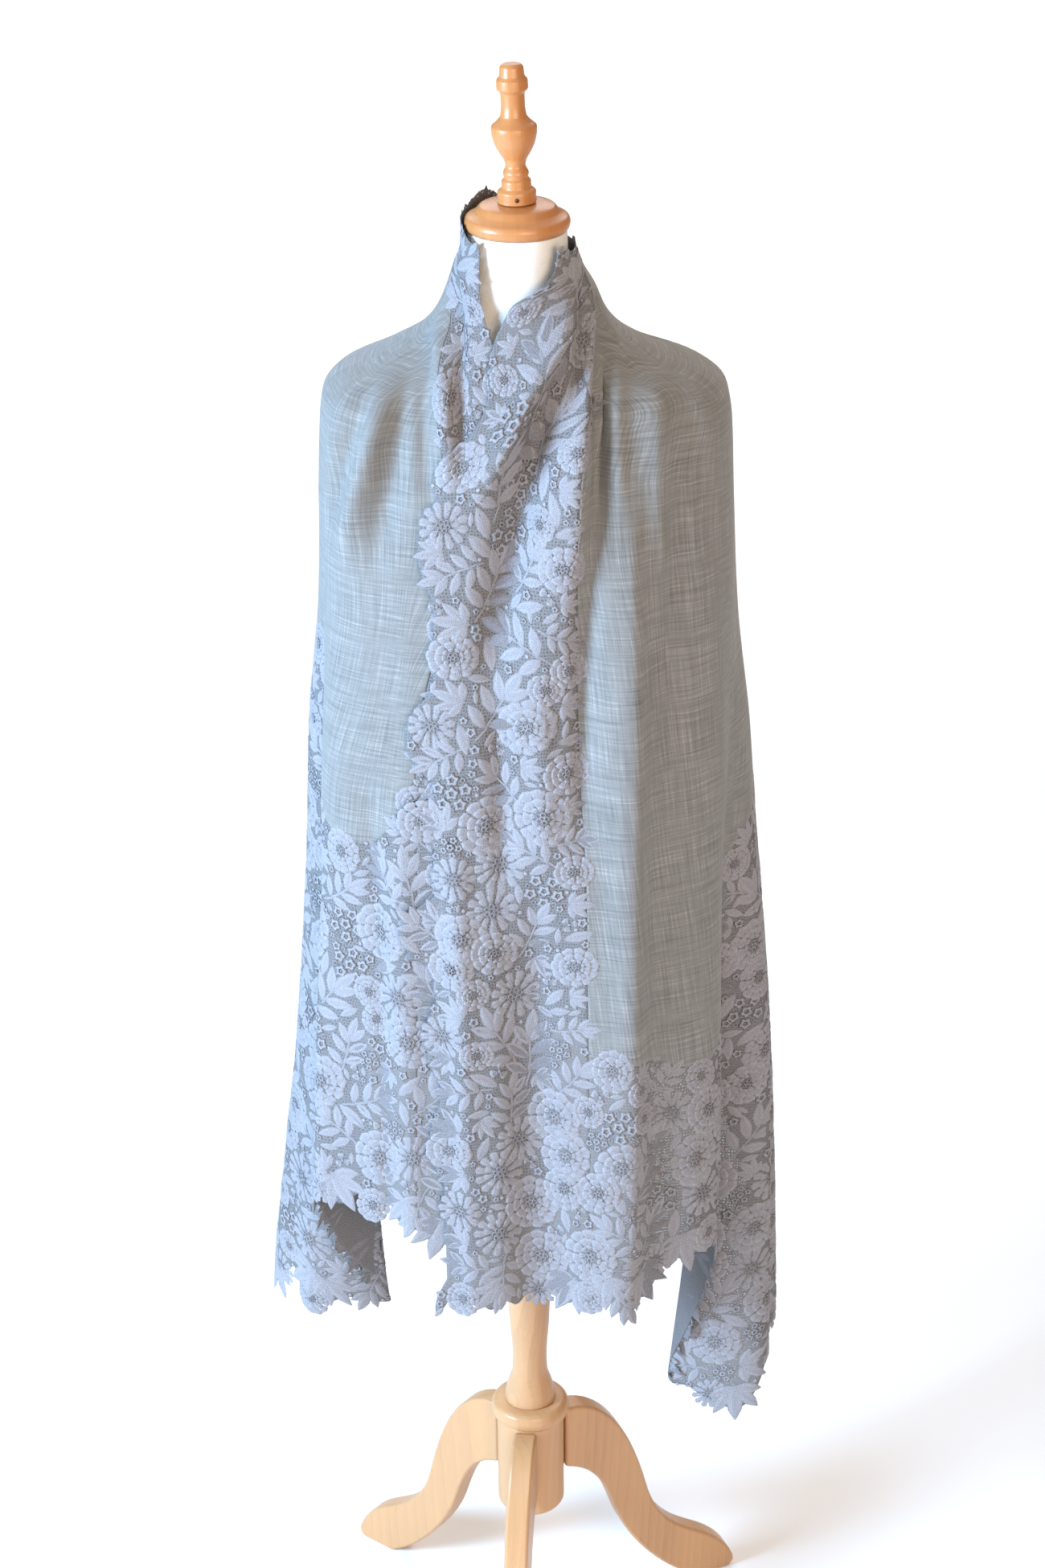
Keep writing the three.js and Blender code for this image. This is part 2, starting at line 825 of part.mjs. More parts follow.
addPiece(
  'lace_hem_right',
  hemStretch({
    from: overSeam,
    to: fixed(BACK_START),
    top: overHemSeam,
    bottom: overHemEdge,
    columns: 2 * FRONT_COLUMNS.right,
    isOver: true,
  }),
  LACE,
);
addPiece(
  'lace_hem_left',
  hemStretch({
    from: fixed(BACK_END - 360),
    to: underSeam,
    top: underHemSeam,
    bottom: underHemEdge,
    columns: 2 * FRONT_COLUMNS.left,
    isOver: false,
  }),
  LACE,
);
addPiece(
  'lace_hem_back',
  hemStretch({
    from: fixed(BACK_START),
    to: fixed(BACK_END),
    top: overHemSeam,
    bottom: overHemEdge,
    columns: 2 * BACK_COLUMNS,
    isOver: false,
  }),
  LACE,
);

part.updateMatrixWorld(true);
const box = new THREE.Box3().setFromObject(part, true);
const middle = box.getCenter(new THREE.Vector3());
part.position.set(-middle.x, -middle.y, -box.min.z);
part.updateMatrixWorld(true);

export default part;
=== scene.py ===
"""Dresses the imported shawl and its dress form: cloth, lace, form, turned wood and stage.

Lengths in the tables are millimetres from the pole's axis and the floor. The front faces -Y, +X is
the viewer's right and +Z is up. Bearings are degrees round the pole: 0 in front, 90 at the viewer's
right, 180 behind.
"""

import math

import bpy
import numpy as np
from bpy.props import FloatProperty, FloatVectorProperty, IntProperty, PointerProperty
from mathutils import Matrix, Vector


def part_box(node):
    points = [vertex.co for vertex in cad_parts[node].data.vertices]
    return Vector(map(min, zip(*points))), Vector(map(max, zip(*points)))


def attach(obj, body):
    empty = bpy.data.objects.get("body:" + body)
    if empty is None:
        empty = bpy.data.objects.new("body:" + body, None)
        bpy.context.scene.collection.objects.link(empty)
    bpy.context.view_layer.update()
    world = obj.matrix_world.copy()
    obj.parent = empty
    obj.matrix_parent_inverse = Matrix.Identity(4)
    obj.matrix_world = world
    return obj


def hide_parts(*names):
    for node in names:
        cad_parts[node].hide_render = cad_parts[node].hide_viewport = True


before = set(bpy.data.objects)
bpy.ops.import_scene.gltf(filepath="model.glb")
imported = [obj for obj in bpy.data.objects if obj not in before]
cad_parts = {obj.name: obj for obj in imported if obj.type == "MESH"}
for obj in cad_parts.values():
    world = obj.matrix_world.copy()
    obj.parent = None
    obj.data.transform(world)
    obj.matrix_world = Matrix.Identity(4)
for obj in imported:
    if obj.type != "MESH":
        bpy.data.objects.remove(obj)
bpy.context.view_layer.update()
CAP_LOW, CAP_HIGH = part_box("neck_cap")
AXIS = np.array([(CAP_LOW.x + CAP_HIGH.x) / 2, (CAP_LOW.y + CAP_HIGH.y) / 2, 0.0])

bl_info = {
    "name": "Lace shawl on a dress form",
    "version": (1, 0, 0),
    "blender": (4, 5, 0),
    "location": "3D View > Sidebar > Shawl",
    "description": "Drapes a lace-edged shawl over a limbless dress form on a tripod stand",
    "category": "Object",
}

MILLIMETRE = 0.001

# The shawl's level sections: height, half width to the left and right, depth in front and behind, and
# the power of the superellipse that joins them.
SECTIONS = (
    (1665, 53, 54, 54, 60, 2.0),
    (1640, 52, 53, 54, 61, 2.0),
    (1616, 52, 53, 55, 63, 2.0),
    (1594, 60, 60, 59, 68, 2.0),
    (1573, 67, 72, 64, 76, 2.0),
    (1550, 78, 82, 71, 85, 2.0),
    (1530, 96, 98, 81, 95, 2.1),
    (1510, 134, 130, 92, 104, 2.2),
    (1492, 172, 178, 103, 111, 2.5),
    (1475, 185, 196, 112, 117, 2.7),
    (1450, 188, 200, 120, 122, 2.8),
    (1380, 192, 203, 134, 130, 2.8),
    (1255, 198, 210, 141, 136, 2.7),
    (1125, 212, 225, 145, 140, 2.6),
    (990, 222, 238, 148, 144, 2.5),
    (900, 231, 248, 150, 147, 2.5),
    (755, 246, 260, 154, 150, 2.5),
    (610, 264, 267, 158, 154, 2.5),
    (460, 281, 272, 162, 158, 2.5),
    (300, 288, 276, 166, 162, 2.5),
)

# Folds down the front: top and bottom height, x at the top, middle and bottom, height of the crest,
# width to its left and right, and how much of it dies away at the bottom.
FRONT_FOLDS = (
    (1580, 1390, 58, 0, -52, 9, 34, 20, 1),
    (1560, 1180, 46, -26, -34, -15, 18, 20, 1),
    (1560, 1100, 60, 36, -6, 9, 24, 22, 1),
    (1500, 500, 94, 103, 97, 17, 48, 34, 0),
    (1560, 1340, 76, 71, 68, -8, 16, 16, 1),
    (1550, 1330, -92, -118, -140, -8, 20, 22, 1),
    (1540, 1280, -126, -150, -160, 8, 26, 24, 1),
    (1060, 560, 8, 12, 14, -13, 32, 38, 0),
    (1060, 560, -48, -45, -44, 5, 26, 22, 0),
    (1080, 600, -170, -172, -168, -8, 24, 24, 0),
)

# Narrow creases and pleats of the cloth, in the same columns. They are too fine for the solids.
CREASES = (
    (1600, 1420, -58, -55, -52, -9, 7, 7, 1),
    (1590, 1400, -73, -70, -64, 7, 9, 9, 1),
    (1580, 1380, -92, -90, -84, -8, 9, 9, 1),
    (1565, 1290, -98, -124, -148, -7, 15, 14, 1),
    (1600, 1470, 55, 56, 46, -11, 7, 7, 1),
    (1600, 1420, 66, 65, 62, 8, 7, 8, 1),
    (1600, 1390, 72, 70, 68, -12, 7, 7, 1),
    (1585, 1360, 86, 86, 88, 8, 8, 10, 1),
    (1590, 1250, 64, 56, 52, 9, 12, 6, 1),
    (1540, 1250, 122, 130, 134, 5, 14, 12, 1),
    (1530, 1290, 142, 152, 154, -5, 12, 12, 1),
    (1480, 820, 118, 121, 124, -6, 8, 22, 0),
    (1440, 1000, 60, 53, 55, -11, 10, 13, 1),
    (1180, 560, -208, -212, -214, 5, 12, 10, 0),
    (1180, 560, -150, -146, -142, -7, 10, 12, 0),
    (1180, 560, -122, -118, -114, 5, 12, 12, 0),
    (1150, 560, -66, -62, -60, 5, 12, 14, 0),
    (1240, 1000, 20, 16, 14, 6, 14, 16, 1),
    (1240, 980, -22, -20, -18, -8, 12, 14, 1),
    (1600, 1390, 64, 6, -50, 13, 15, 8, 1),
    (1560, 1200, 40, -12, -26, -6, 8, 12, 1),
    (1590, 1330, 76, 72, 70, -6, 9, 6, 1),
    (1540, 1310, -106, -148, -172, 7, 10, 10, 1),
    (1530, 1330, -128, -164, -184, -8, 9, 9, 1),
    (1500, 1330, -160, -178, -186, 5, 8, 8, 1),
    (1520, 1290, 150, 172, 184, -5, 9, 9, 1),
    (1480, 1100, 138, 140, 142, -5, 10, 14, 1),
    (1480, 520, 98, 107, 101, 7, 30, 8, 0),
)

# Folds at the sides and back: top height, bearing there and at the hem, depth, width in degrees, and
# the drop over which they reach their depth.
HANGING_FOLDS = (
    (1330, 75, 68, -118, 8, 940),
    (1390, -82, -76, -132, 7, 940),
    (1150, 89, 88, -30, 5, 760),
    (1150, -91, -88, -30, 5, 760),
    (1420, 104, 112, -16, 8, 800),
    (1420, 256, 248, -16, 8, 800),
    (1450, 128, 126, 15, 8, 760),
    (1440, 143, 145, -14, 8, 760),
    (1460, 160, 160, 13, 8, 760),
    (1440, 177, 180, -15, 9, 760),
    (1460, 196, 197, 14, 9, 760),
    (1440, 214, 214, -13, 8, 760),
    (1450, 231, 232, 15, 8, 760),
)

# Free edges of the two fronts, x at each height, and the lobes of the upper one: height, half its
# length and reach.
OVER_EDGE = (
    (1630, 44),
    (1606, 37),
    (1590, 20),
    (1577, -4),
    (1560, -14),
    (1540, -23),
    (1500, -28),
    (1455, -56),
    (1420, -74),
    (1340, -82),
    (1200, -86),
    (900, -90),
    (700, -86),
    (500, -84),
)
OVER_LOBES = (
    (1437, 22, 14),
    (1366, 50, 18),
    (1178, 48, 32),
    (1090, 26, 34),
    (970, 40, 42),
    (850, 46, 14),
    (735, 46, 14),
    (540, 34, 14),
)
UNDER_EDGE = (
    (1640, -48),
    (1592, -44),
    (1561, -34),
    (1541, -24),
    (1516, -8),
    (1470, 12),
    (1380, 26),
    (500, 26),
)

# Seams between the fronts' lace and the woven cloth: height and bearing.
OVER_SEAM = (
    (1600, 90),
    (1580, 70),
    (1550, 56),
    (1510, 39),
    (1490, 34),
    (1428, 23.5),
    (1350, 20.5),
    (1200, 20),
    (1000, 22),
    (820, 22),
    (500, 21),
)
UNDER_SEAM = (
    (1600, -90),
    (1575, -72),
    (1550, -57),
    (1510, -42),
    (1480, -35),
    (1400, -27),
    (1300, -29),
    (1150, -37),
    (500, -37),
)

# Lines round the shawl, bearing and height: collar edge, collar seam, hem seams and hems.
COLLAR_EDGE = (
    (-90, 1640),
    (-40, 1622),
    (0, 1626),
    (90, 1612),
    (140, 1612),
    (180, 1632),
    (212, 1652),
    (240, 1642),
    (270, 1640),
)
COLLAR_SEAM = (
    (-110, 1600),
    (110, 1600),
    (150, 1545),
    (180, 1525),
    (210, 1545),
    (250, 1600),
    (290, 1600),
)
OVER_HEM_SEAM = (
    (-40, 840),
    (20, 838),
    (34, 832),
    (55, 806),
    (65, 850),
    (78, 1020),
    (95, 1056),
    (103, 1000),
    (110, 960),
    (130, 910),
    (180, 900),
    (230, 910),
    (250, 1010),
)
UNDER_HEM_SEAM = (
    (-110, 1010),
    (-101, 1160),
    (-90, 1235),
    (-78, 1150),
    (-66, 1062),
    (-53, 1052),
    (-45, 1075),
    (-37, 1128),
    (15, 1128),
)
OVER_HEM = (
    (-40, 536),
    (-20, 560),
    (0, 560),
    (20, 560),
    (36, 556),
    (44, 594),
    (57, 602),
    (61, 560),
    (66, 400),
    (71, 342),
    (76, 338),
    (83, 420),
    (91, 396),
    (100, 452),
    (110, 580),
    (122, 684),
    (150, 706),
    (180, 700),
    (210, 706),
    (238, 684),
    (250, 592),
)
UNDER_HEM = (
    (-110, 592),
    (-104, 490),
    (-96, 462),
    (-90, 484),
    (-84, 462),
    (-77, 458),
    (-73, 500),
    (-68, 632),
    (-58, 656),
    (-42, 648),
    (-30, 624),
    (15, 636),
)

# Scallops of the hem in degrees and millimetres, the lift of the upper front, the cloth's least distance from
# the form, and the bearings between which the back and the collar behind the neck lie.
SCALLOP_PITCH = 9
SCALLOP_DEPTH = 16
OVERLAP_LIFT = 6
TORSO_CLEARANCE = 3.0
BACK_START = 110
BACK_END = 250
NECK_SIDE = 90

# Height where the threads run level, and the height between the lace of the collar and of the hem.
LEVEL_LINE = 1400
COLLAR_LINE = 1200

# Shares of a front fold's run where it has risen and where it starts to fade, and how a hanging fold
# deepens with its run: the most of it that counts, and its power.
FOLD_RISE = 0.3
FOLD_FADE = 0.6
HANG_LIMIT = 1.1
HANG_POWER = 1.3

# Unevenness of hanging cloth: height, waves round the body, drop for each radian of lean, and start. It
# grows between two heights.
RIPPLES = (
    (1.1, 11, 170, 0.0),
    (0.8, 19, -230, 1.3),
    (0.5, 31, 120, 0.5),
)
RIPPLE_START = 1500.0
RIPPLE_FULL = 1100.0

# Cosines of the bearing between which the front takes over from the side, and x between which the lift of
# the upper front ends.
FRONT_START = 0.1
FRONT_FULL = 0.4
LIFT_FULL = 45.0
LIFT_END = 85.0

# Half steps that normals are taken from, in degrees and millimetres, and the height from which a panel's grid
# is settled, with the number of passes.
NORMAL_TURN = 0.25
NORMAL_DROP = 1.5
GRID_START = 1000.0
GRID_PASSES = 8

# The padded form: height, half width, depth in front and behind, and squareness.
TORSO = (
    (1627.7, 46, 46, 46, 2.0),
    (1600, 47, 47, 49, 2.0),
    (1576, 52, 50, 58, 2.0),
    (1556, 64, 55, 69, 2.0),
    (1538, 80, 62, 80, 2.0),
    (1520, 104, 72, 88, 2.1),
    (1504, 134, 81, 95, 2.2),
    (1488, 162, 90, 101, 2.4),
    (1470, 175, 97, 105, 2.6),
    (1440, 174, 103, 107, 2.5),
    (1390, 165, 111, 106, 2.4),
    (1330, 152, 116, 100, 2.3),
    (1260, 134, 102, 92, 2.2),
    (1200, 122, 88, 86, 2.2),
    (1120, 140, 96, 97, 2.2),
    (1040, 156, 106, 110, 2.2),
    (960, 158, 107, 110, 2.2),
    (920, 154, 103, 106, 2.2),
)

# Turned profiles: height and radius from the bottom up.
FINIAL_BASE = 1653.6
FINIAL_LEAN = math.radians(-1.8)
DOWEL_HEIGHT = 5.5
DOWEL_RADIUS = 2.1
FINIAL_PROFILE = (
    (0, 18),
    (9.5, 18),
    (11, 17.4),
    (14, 14),
    (20, 13.6),
    (23, 11.4),
    (27, 12),
    (34, 9.4),
    (39, 10.4),
    (46, 14.5),
    (56, 19.2),
    (67, 21.2),
    (70, 21),
    (75, 16),
    (80, 12.2),
    (90, 11),
    (100, 11.2),
    (105, 14.6),
    (112, 14.4),
    (116, 11.8),
    (124, 10.8),
    (127, 8),
)
CAP_PROFILE = (
    (1628, 45.2),
    (1630.5, 48.2),
    (1635.5, 49.2),
    (1640, 47.7),
    (1643, 42.5),
    (1645, 39.5),
    (1650.7, 34.5),
    (1652.2, 28),
    (1652.7, 24),
)
POLE_PROFILE = (
    (308.3, 28),
    (317, 27),
    (331, 23.4),
    (345, 19.2),
    (362, 18.5),
    (412, 21.5),
    (480, 24.5),
    (560, 25.5),
    (760, 22),
    (919.7, 18),
)
RING_PROFILE = (
    (286, 36.7),
    (290, 41.2),
    (297, 42.7),
    (303, 41.2),
    (307, 36.7),
    (308, 32.7),
)
HUB_PROFILE = (
    (168, 29.7),
    (170, 34.7),
    (175, 36.7),
    (285.7, 36.7),
)

# The leg's outline in its own upright plane, reach and height: curves by their four control points.
LEG_THICKNESS = 26
CURVE_STEPS = 14
LEG_BEARINGS = {"leg_front": -8, "leg_right": 112, "leg_left": -128}
LEG_TOP = ((37, 285.7), (52, 285.7))
LEG_BACK = (
    ((52, 285.7), (98, 276), (122, 214), (137, 152)),
    ((137, 152), (150, 96), (178, 80), (206, 62)),
    ((206, 62), (232, 46), (246, 26), (250, 8)),
)
LEG_SOLE = ((244, 0), (200, 0))
LEG_FRONT = (
    ((200, 0), (160, 22), (118, 74), (102, 118)),
    ((102, 118), (88, 160), (78, 196), (37, 206)),
)


def smooth_line(rows):
    """Smooth curve through (place, value) rows. Slopes are harmonic means of the steps on both sides, so
    it never overshoots a row, and it stays level beyond both ends."""
    place, value = np.array(sorted(rows), float).T
    step = np.diff(value) / np.diff(place)
    slope = np.concatenate([step[:1], np.zeros(len(step) - 1), step[-1:]])
    product = step[:-1] * step[1:]
    total = np.where(product > 0, step[:-1] + step[1:], 1.0)
    slope[1:-1] = np.where(product > 0, 2 * product / total, 0.0)

    def line(at):
        at = np.clip(np.asarray(at, float), place[0], place[-1])
        i = np.clip(np.searchsorted(place, at, side="right") - 1, 0, len(step) - 1)
        width = place[i + 1] - place[i]
        t = (at - place[i]) / width
        rise = value[i + 1] - value[i]
        bend = (1 - t) * (slope[i] * width - rise) - t * (slope[i + 1] * width - rise)
        return value[i] + rise * t + t * (1 - t) * bend

    return line


def column(rows, index):
    """Smooth curve through the first column and another one of a table."""
    return smooth_line([(row[0], row[index]) for row in rows])


def ramp(value, start, end):
    """Smooth step from 0 at start to 1 at end."""
    t = np.clip((value - start) / (end - start), 0.0, 1.0)
    return t * t * (3 - 2 * t)


section_left = column(SECTIONS, 1)
section_right = column(SECTIONS, 2)
section_front = column(SECTIONS, 3)
section_back = column(SECTIONS, 4)
section_square = column(SECTIONS, 5)
torso_side = column(TORSO, 1)
torso_front = column(TORSO, 2)
torso_back = column(TORSO, 3)
torso_square = column(TORSO, 4)
over_edge = smooth_line(OVER_EDGE)
under_edge = smooth_line(UNDER_EDGE)
over_seam = smooth_line(OVER_SEAM)
under_seam = smooth_line(UNDER_SEAM)
collar_edge = smooth_line(COLLAR_EDGE)
collar_seam = smooth_line(COLLAR_SEAM)
over_hem_seam = smooth_line(OVER_HEM_SEAM)
under_hem_seam = smooth_line(UNDER_HEM_SEAM)
over_hem = smooth_line(OVER_HEM)
under_hem = smooth_line(UNDER_HEM)


def scallop(bearing):
    """Depth of the hem's even scallops: the absolute value of a sine."""
    return SCALLOP_DEPTH * np.abs(np.sin(np.pi * bearing / SCALLOP_PITCH))


def over_hem_edge(bearing):
    """Hem of the upper front and the back, with its scallops."""
    return over_hem(bearing) - scallop(bearing)


def under_hem_edge(bearing):
    """Hem of the lower front, with its scallops."""
    return under_hem(bearing) - scallop(bearing)


def bearing_of_x(x, z):
    """Bearing of a place x on the front of the section at height z."""
    return np.degrees(np.arctan2(x, section_front(z)))


def over_edge_bearing(z):
    """Free edge of the upper front: its mean line less the parabola of each lobe."""
    x = over_edge(z)
    for middle, half, reach in OVER_LOBES:
        away = np.minimum(np.abs((z - middle) / half), 1.0)
        x = x - reach * (1 - away**2)
    return bearing_of_x(x, z)


def over_mean_bearing(z):
    """Free edge of the upper front without its lobes."""
    return bearing_of_x(over_edge(z), z)


def under_edge_bearing(z):
    """Free edge of the lower front."""
    return bearing_of_x(under_edge(z), z)


def front_shift(x, z, folds):
    """How far front folds move the cloth out: bell curves across x, whose crests follow parabolas down."""
    total = np.zeros(np.broadcast(x, z).shape)
    for top, bottom, top_x, middle_x, bottom_x, height, left, right, tail in folds:
        s = np.clip((top - z) / (top - bottom), 0.0, 1.0)
        bend = 2 * (top_x + bottom_x - 2 * middle_x)
        crest = top_x + (bottom_x - top_x - bend / 2) * s + bend * s * s / 2
        width = np.where(x < crest, left, right)
        strength = ramp(s, 0.0, FOLD_RISE) * (1 - tail * ramp(s, FOLD_FADE, 1.0))
        total += height * strength * np.exp(-(((x - crest) / width) ** 2))
    return total


def hanging_shift(bearing, z):
    """How far the hanging folds move the cloth out: bell curves of bearing that deepen towards the hem."""
    total = np.zeros(np.broadcast(bearing, z).shape)
    for top, start, end, depth, width, reach in HANGING_FOLDS:
        t = np.maximum(top - z, 0.0) / reach
        place = start + (end - start) * np.minimum(t, 1.0)
        away = np.mod(bearing - place + 180, 360) - 180
        total += depth * np.minimum(t, HANG_LIMIT) ** HANG_POWER * np.exp(-((away / width) ** 2))
    return total


def ripple_shift(bearing, z):
    """Slight unevenness of hanging cloth: three sines round the body that lean with height."""
    turn = np.radians(bearing)
    total = 0.0
    for height, waves, drop, start in RIPPLES:
        total = total + height * np.sin(waves * turn + z / drop + start)
    return ramp(-z, -RIPPLE_START, -RIPPLE_FULL) * total


def torso_radius(angle, z):
    """Radius of the form's superellipse at an angle and a height."""
    depth = np.where(np.cos(angle) > 0, torso_front(z), torso_back(z))
    power = torso_square(z)
    terms = (np.abs(np.sin(angle)) / torso_side(z)) ** power + (np.abs(np.cos(angle)) / depth) ** power
    return terms ** (-1 / power)


def drape(bearing, z, is_over):
    """Points of the shawl's middle surface: a superellipse ring at each height, moved along its own normal
    by the folds and, on the front that lies over, by the lift that clears the front below it."""
    bearing, z = np.broadcast_arrays(np.asarray(bearing, float), np.asarray(z, float))
    across = np.sin(np.radians(bearing))
    along = np.cos(np.radians(bearing))
    side = np.where(across < 0, section_left(z), section_right(z))
    depth = np.where(along > 0, section_front(z), section_back(z))
    power = section_square(z)
    radius = ((np.abs(across) / side) ** power + (np.abs(along) / depth) ** power) ** (-1 / power)
    x = radius * across
    y = -radius * along
    normal_x = np.sign(x) * np.abs(x / side) ** (power - 1) / side
    normal_y = np.sign(y) * np.abs(y / depth) ** (power - 1) / depth
    length = np.hypot(normal_x, normal_y)
    in_front = ramp(along, FRONT_START, FRONT_FULL)
    out = hanging_shift(bearing, z) + ripple_shift(bearing, z)
    out = out + in_front * (front_shift(x, z, FRONT_FOLDS) + front_shift(x, z, CREASES))
    lift = OVERLAP_LIFT * in_front if is_over else 0
    out = out + lift * (1 - ramp(x, LIFT_FULL, LIFT_END))
    x = x + normal_x / length * out
    y = y + normal_y / length * out
    least = torso_radius(np.arctan2(x, -y), z) + TORSO_CLEARANCE + lift
    push = np.where(z > TORSO[-1][0], np.maximum(least / np.hypot(x, y), 1.0), 1.0)
    return np.stack([x * push, y * push, z], -1)


def drape_normal(bearing, z, is_over):
    """Unit normals of the shawl: the cross product of short steps down and aside."""
    aside = drape(bearing + NORMAL_TURN, z, is_over) - drape(bearing - NORMAL_TURN, z, is_over)
    down = drape(bearing, z - NORMAL_DROP, is_over) - drape(bearing, z + NORMAL_DROP, is_over)
    normal = np.cross(down, aside)
    return normal / np.linalg.norm(normal, axis=-1, keepdims=True)


def quads(index):
    """Faces of a grid whose rows run down and columns to the right."""
    return np.stack([index[:-1, :-1], index[1:, :-1], index[1:, 1:], index[:-1, 1:]], -1).reshape(-1, 4)


def add_piece(name, points, faces, material, slot, uv=None, values=None):
    """Mesh object from points in millimetres about the axis and arrays of faces. uv is in metres a point,
    and values maps attribute names to a number a point."""
    loops = np.concatenate([face.ravel() for face in faces]).astype(np.int32)
    sizes = np.concatenate([np.full(len(face), face.shape[1]) for face in faces])
    starts = np.concatenate([[0], np.cumsum(sizes)[:-1]]).astype(np.int32)
    mesh = bpy.data.meshes.new(name)
    mesh.vertices.add(len(points))
    mesh.vertices.foreach_set("co", (points * MILLIMETRE + AXIS).astype(np.float32).ravel())
    mesh.loops.add(len(loops))
    mesh.loops.foreach_set("vertex_index", loops)
    mesh.polygons.add(len(sizes))
    mesh.polygons.foreach_set("loop_start", starts)
    mesh.polygons.foreach_set("use_smooth", np.ones(len(sizes), bool))
    mesh.update(calc_edges=True)
    if uv is not None:
        layer = mesh.uv_layers.new(name="lie")
        layer.data.foreach_set("uv", uv[loops].astype(np.float32).ravel())
    for label, numbers in (values or {}).items():
        mesh.attributes.new(label, "FLOAT", "POINT").data.foreach_set("value", numbers.astype(np.float32))
    if mesh.validate():
        raise RuntimeError(f"{name} has faces that aren't valid")
    mesh.materials.append(material)
    piece = bpy.data.objects.new(name, mesh)
    bpy.context.scene.collection.objects.link(piece)
    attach(piece, "root")
    return piece


def rim_of(index):
    """Rim of a grid, once round it from its first corner."""
    return np.concatenate([index[0], index[1:, -1], index[-1, -2::-1], index[-2:0:-1, 0]])


def ring_stack(radius, angle, heights):
    """Closed solid of level rings from the top down, with a radius for each angle, and two flat ends."""
    x = radius * np.sin(angle)
    points = np.stack([x, -radius * np.cos(angle), heights + 0 * x], -1).reshape(-1, 3)
    index = np.arange(x.size).reshape(x.shape)
    around = np.concatenate([index, index[:, :1]], axis=1)
    return points, [quads(around), index[0][None, :], index[-1][None, ::-1]]


def shell(middle, normal, thickness):
    """Closed thin wall: the grid half a thickness out, then half a thickness in, with a rim all round."""
    rows, columns = middle.shape[:2]
    outer = (middle + normal * thickness / 2).reshape(-1, 3)
    inner = (middle - normal * thickness / 2).reshape(-1, 3)
    index = np.arange(rows * columns).reshape(rows, columns)
    back = index + rows * columns
    rim = rim_of(index)
    after = np.roll(rim, -1)
    sides = np.stack([rim, after, after + rows * columns, rim + rows * columns], -1)
    return np.concatenate([outer, inner]), [quads(index), quads(back)[:, ::-1], sides]


def running_lengths(points):
    """Length along each row of a grid, from its first column."""
    steps = np.linalg.norm(np.diff(points, axis=1), axis=2)
    return np.concatenate([np.zeros((len(points), 1)), np.cumsum(steps, axis=1)], axis=1)


def flat_lengths(points):
    """Flat place of each grid point, in metres: the length along its row from the middle column, and the
    height above a level line, which over the shoulder becomes the length up the point's own column."""
    across = running_lengths(points)
    across = across - across[:, across.shape[1] // 2, None]
    down = running_lengths(points.swapaxes(0, 1)).T
    z = points[..., 2]
    start = [np.interp(-LEVEL_LINE, -z[:, i], down[:, i]) for i in range(z.shape[1])]
    up = np.where(z > LEVEL_LINE, np.array(start) - down, z - LEVEL_LINE)
    return np.stack([across, up], -1).reshape(-1, 2) * MILLIMETRE


def cloth_grid(top, bottom, left, right, rows, columns, is_over):
    """Grid of a panel between two lines round the shawl and two lines down it. The lines down depend on the
    height and the lines round on the bearing, so a few passes settle the two."""
    share = np.linspace(0.0, 1.0, rows + 1)[:, None]
    step = np.linspace(0.0, 1.0, columns + 1)[None, :]
    z = np.full((rows + 1, columns + 1), GRID_START)
    for _ in range(GRID_PASSES):
        bearing = left(z) + (right(z) - left(z)) * step
        z = top(bearing) + (bottom(bearing) - top(bearing)) * share
    return drape(bearing, z, is_over), drape_normal(bearing, z, is_over)


def fixed(bearing):
    """A line down the shawl at one bearing."""
    return lambda z: np.full(np.shape(z), float(bearing))


# Materials

# Place of the wood's heart beside the pieces cut from it, in metres.
WOOD_HEART = (0.11, 0.07, 0.0)


def new_material(name, finish):
    """Node material with a Principled surface, whose inputs finish sets. Returns the material, its tree and
    the surface."""
    material = bpy.data.materials.new(name)
    material.use_nodes = True
    tree = material.node_tree
    surface = tree.nodes["Principled BSDF"]
    for socket, value in finish.items():
        surface.inputs[socket].default_value = value
    return material, tree, surface


def join(tree, kind, sockets, **settings):
    """New node of a kind. sockets maps input names or places to numbers, colours or other outputs."""
    made = tree.nodes.new(kind)
    for name, value in settings.items():
        setattr(made, name, value)
    for name, value in sockets.items():
        if isinstance(value, bpy.types.NodeSocket):
            tree.links.new(value, made.inputs[name])
        else:
            made.inputs[name].default_value = value
    return made


def stretched_noise(tree, place, scale, detail=3.0, roughness=0.55):
    """Noise stretched along the axes by a scale for each of them."""
    mapped = join(tree, "ShaderNodeMapping", {"Vector": place, "Scale": scale})
    made = join(
        tree,
        "ShaderNodeTexNoise",
        {"Vector": mapped.outputs["Vector"], "Scale": 1.0, "Detail": detail, "Roughness": roughness},
    )
    return made.outputs["Fac"]


def blend(tree, *shares):
    """Sum of outputs, each times its own share."""
    total = None
    for output, share in shares:
        part = join(tree, "ShaderNodeMath", {0: output, 1: share}, operation="MULTIPLY").outputs[0]
        if total is None:
            total = part
        else:
            total = join(tree, "ShaderNodeMath", {0: total, 1: part}, operation="ADD").outputs[0]
    return total


def colour_steps(tree, factor, steps):
    """Colour ramp through (place, colour) steps."""
    made = tree.nodes.new("ShaderNodeValToRGB")
    tree.links.new(factor, made.inputs["Fac"])
    points = made.color_ramp.elements
    while len(points) < len(steps):
        points.new(1.0)
    for point, (place, colour) in zip(points, steps):
        point.position = place
        point.color = (*colour, 1.0)
    return made.outputs["Color"]


def shade(colour, share):
    """A colour made lighter or darker by a share."""
    return tuple(min(1.0, part * share) for part in colour[:3])


def tinted(tree, factor, colour, steps):
    """Colour ramp through (place, share) steps of one colour."""
    return colour_steps(tree, factor, [(place, shade(colour, share)) for place, share in steps])


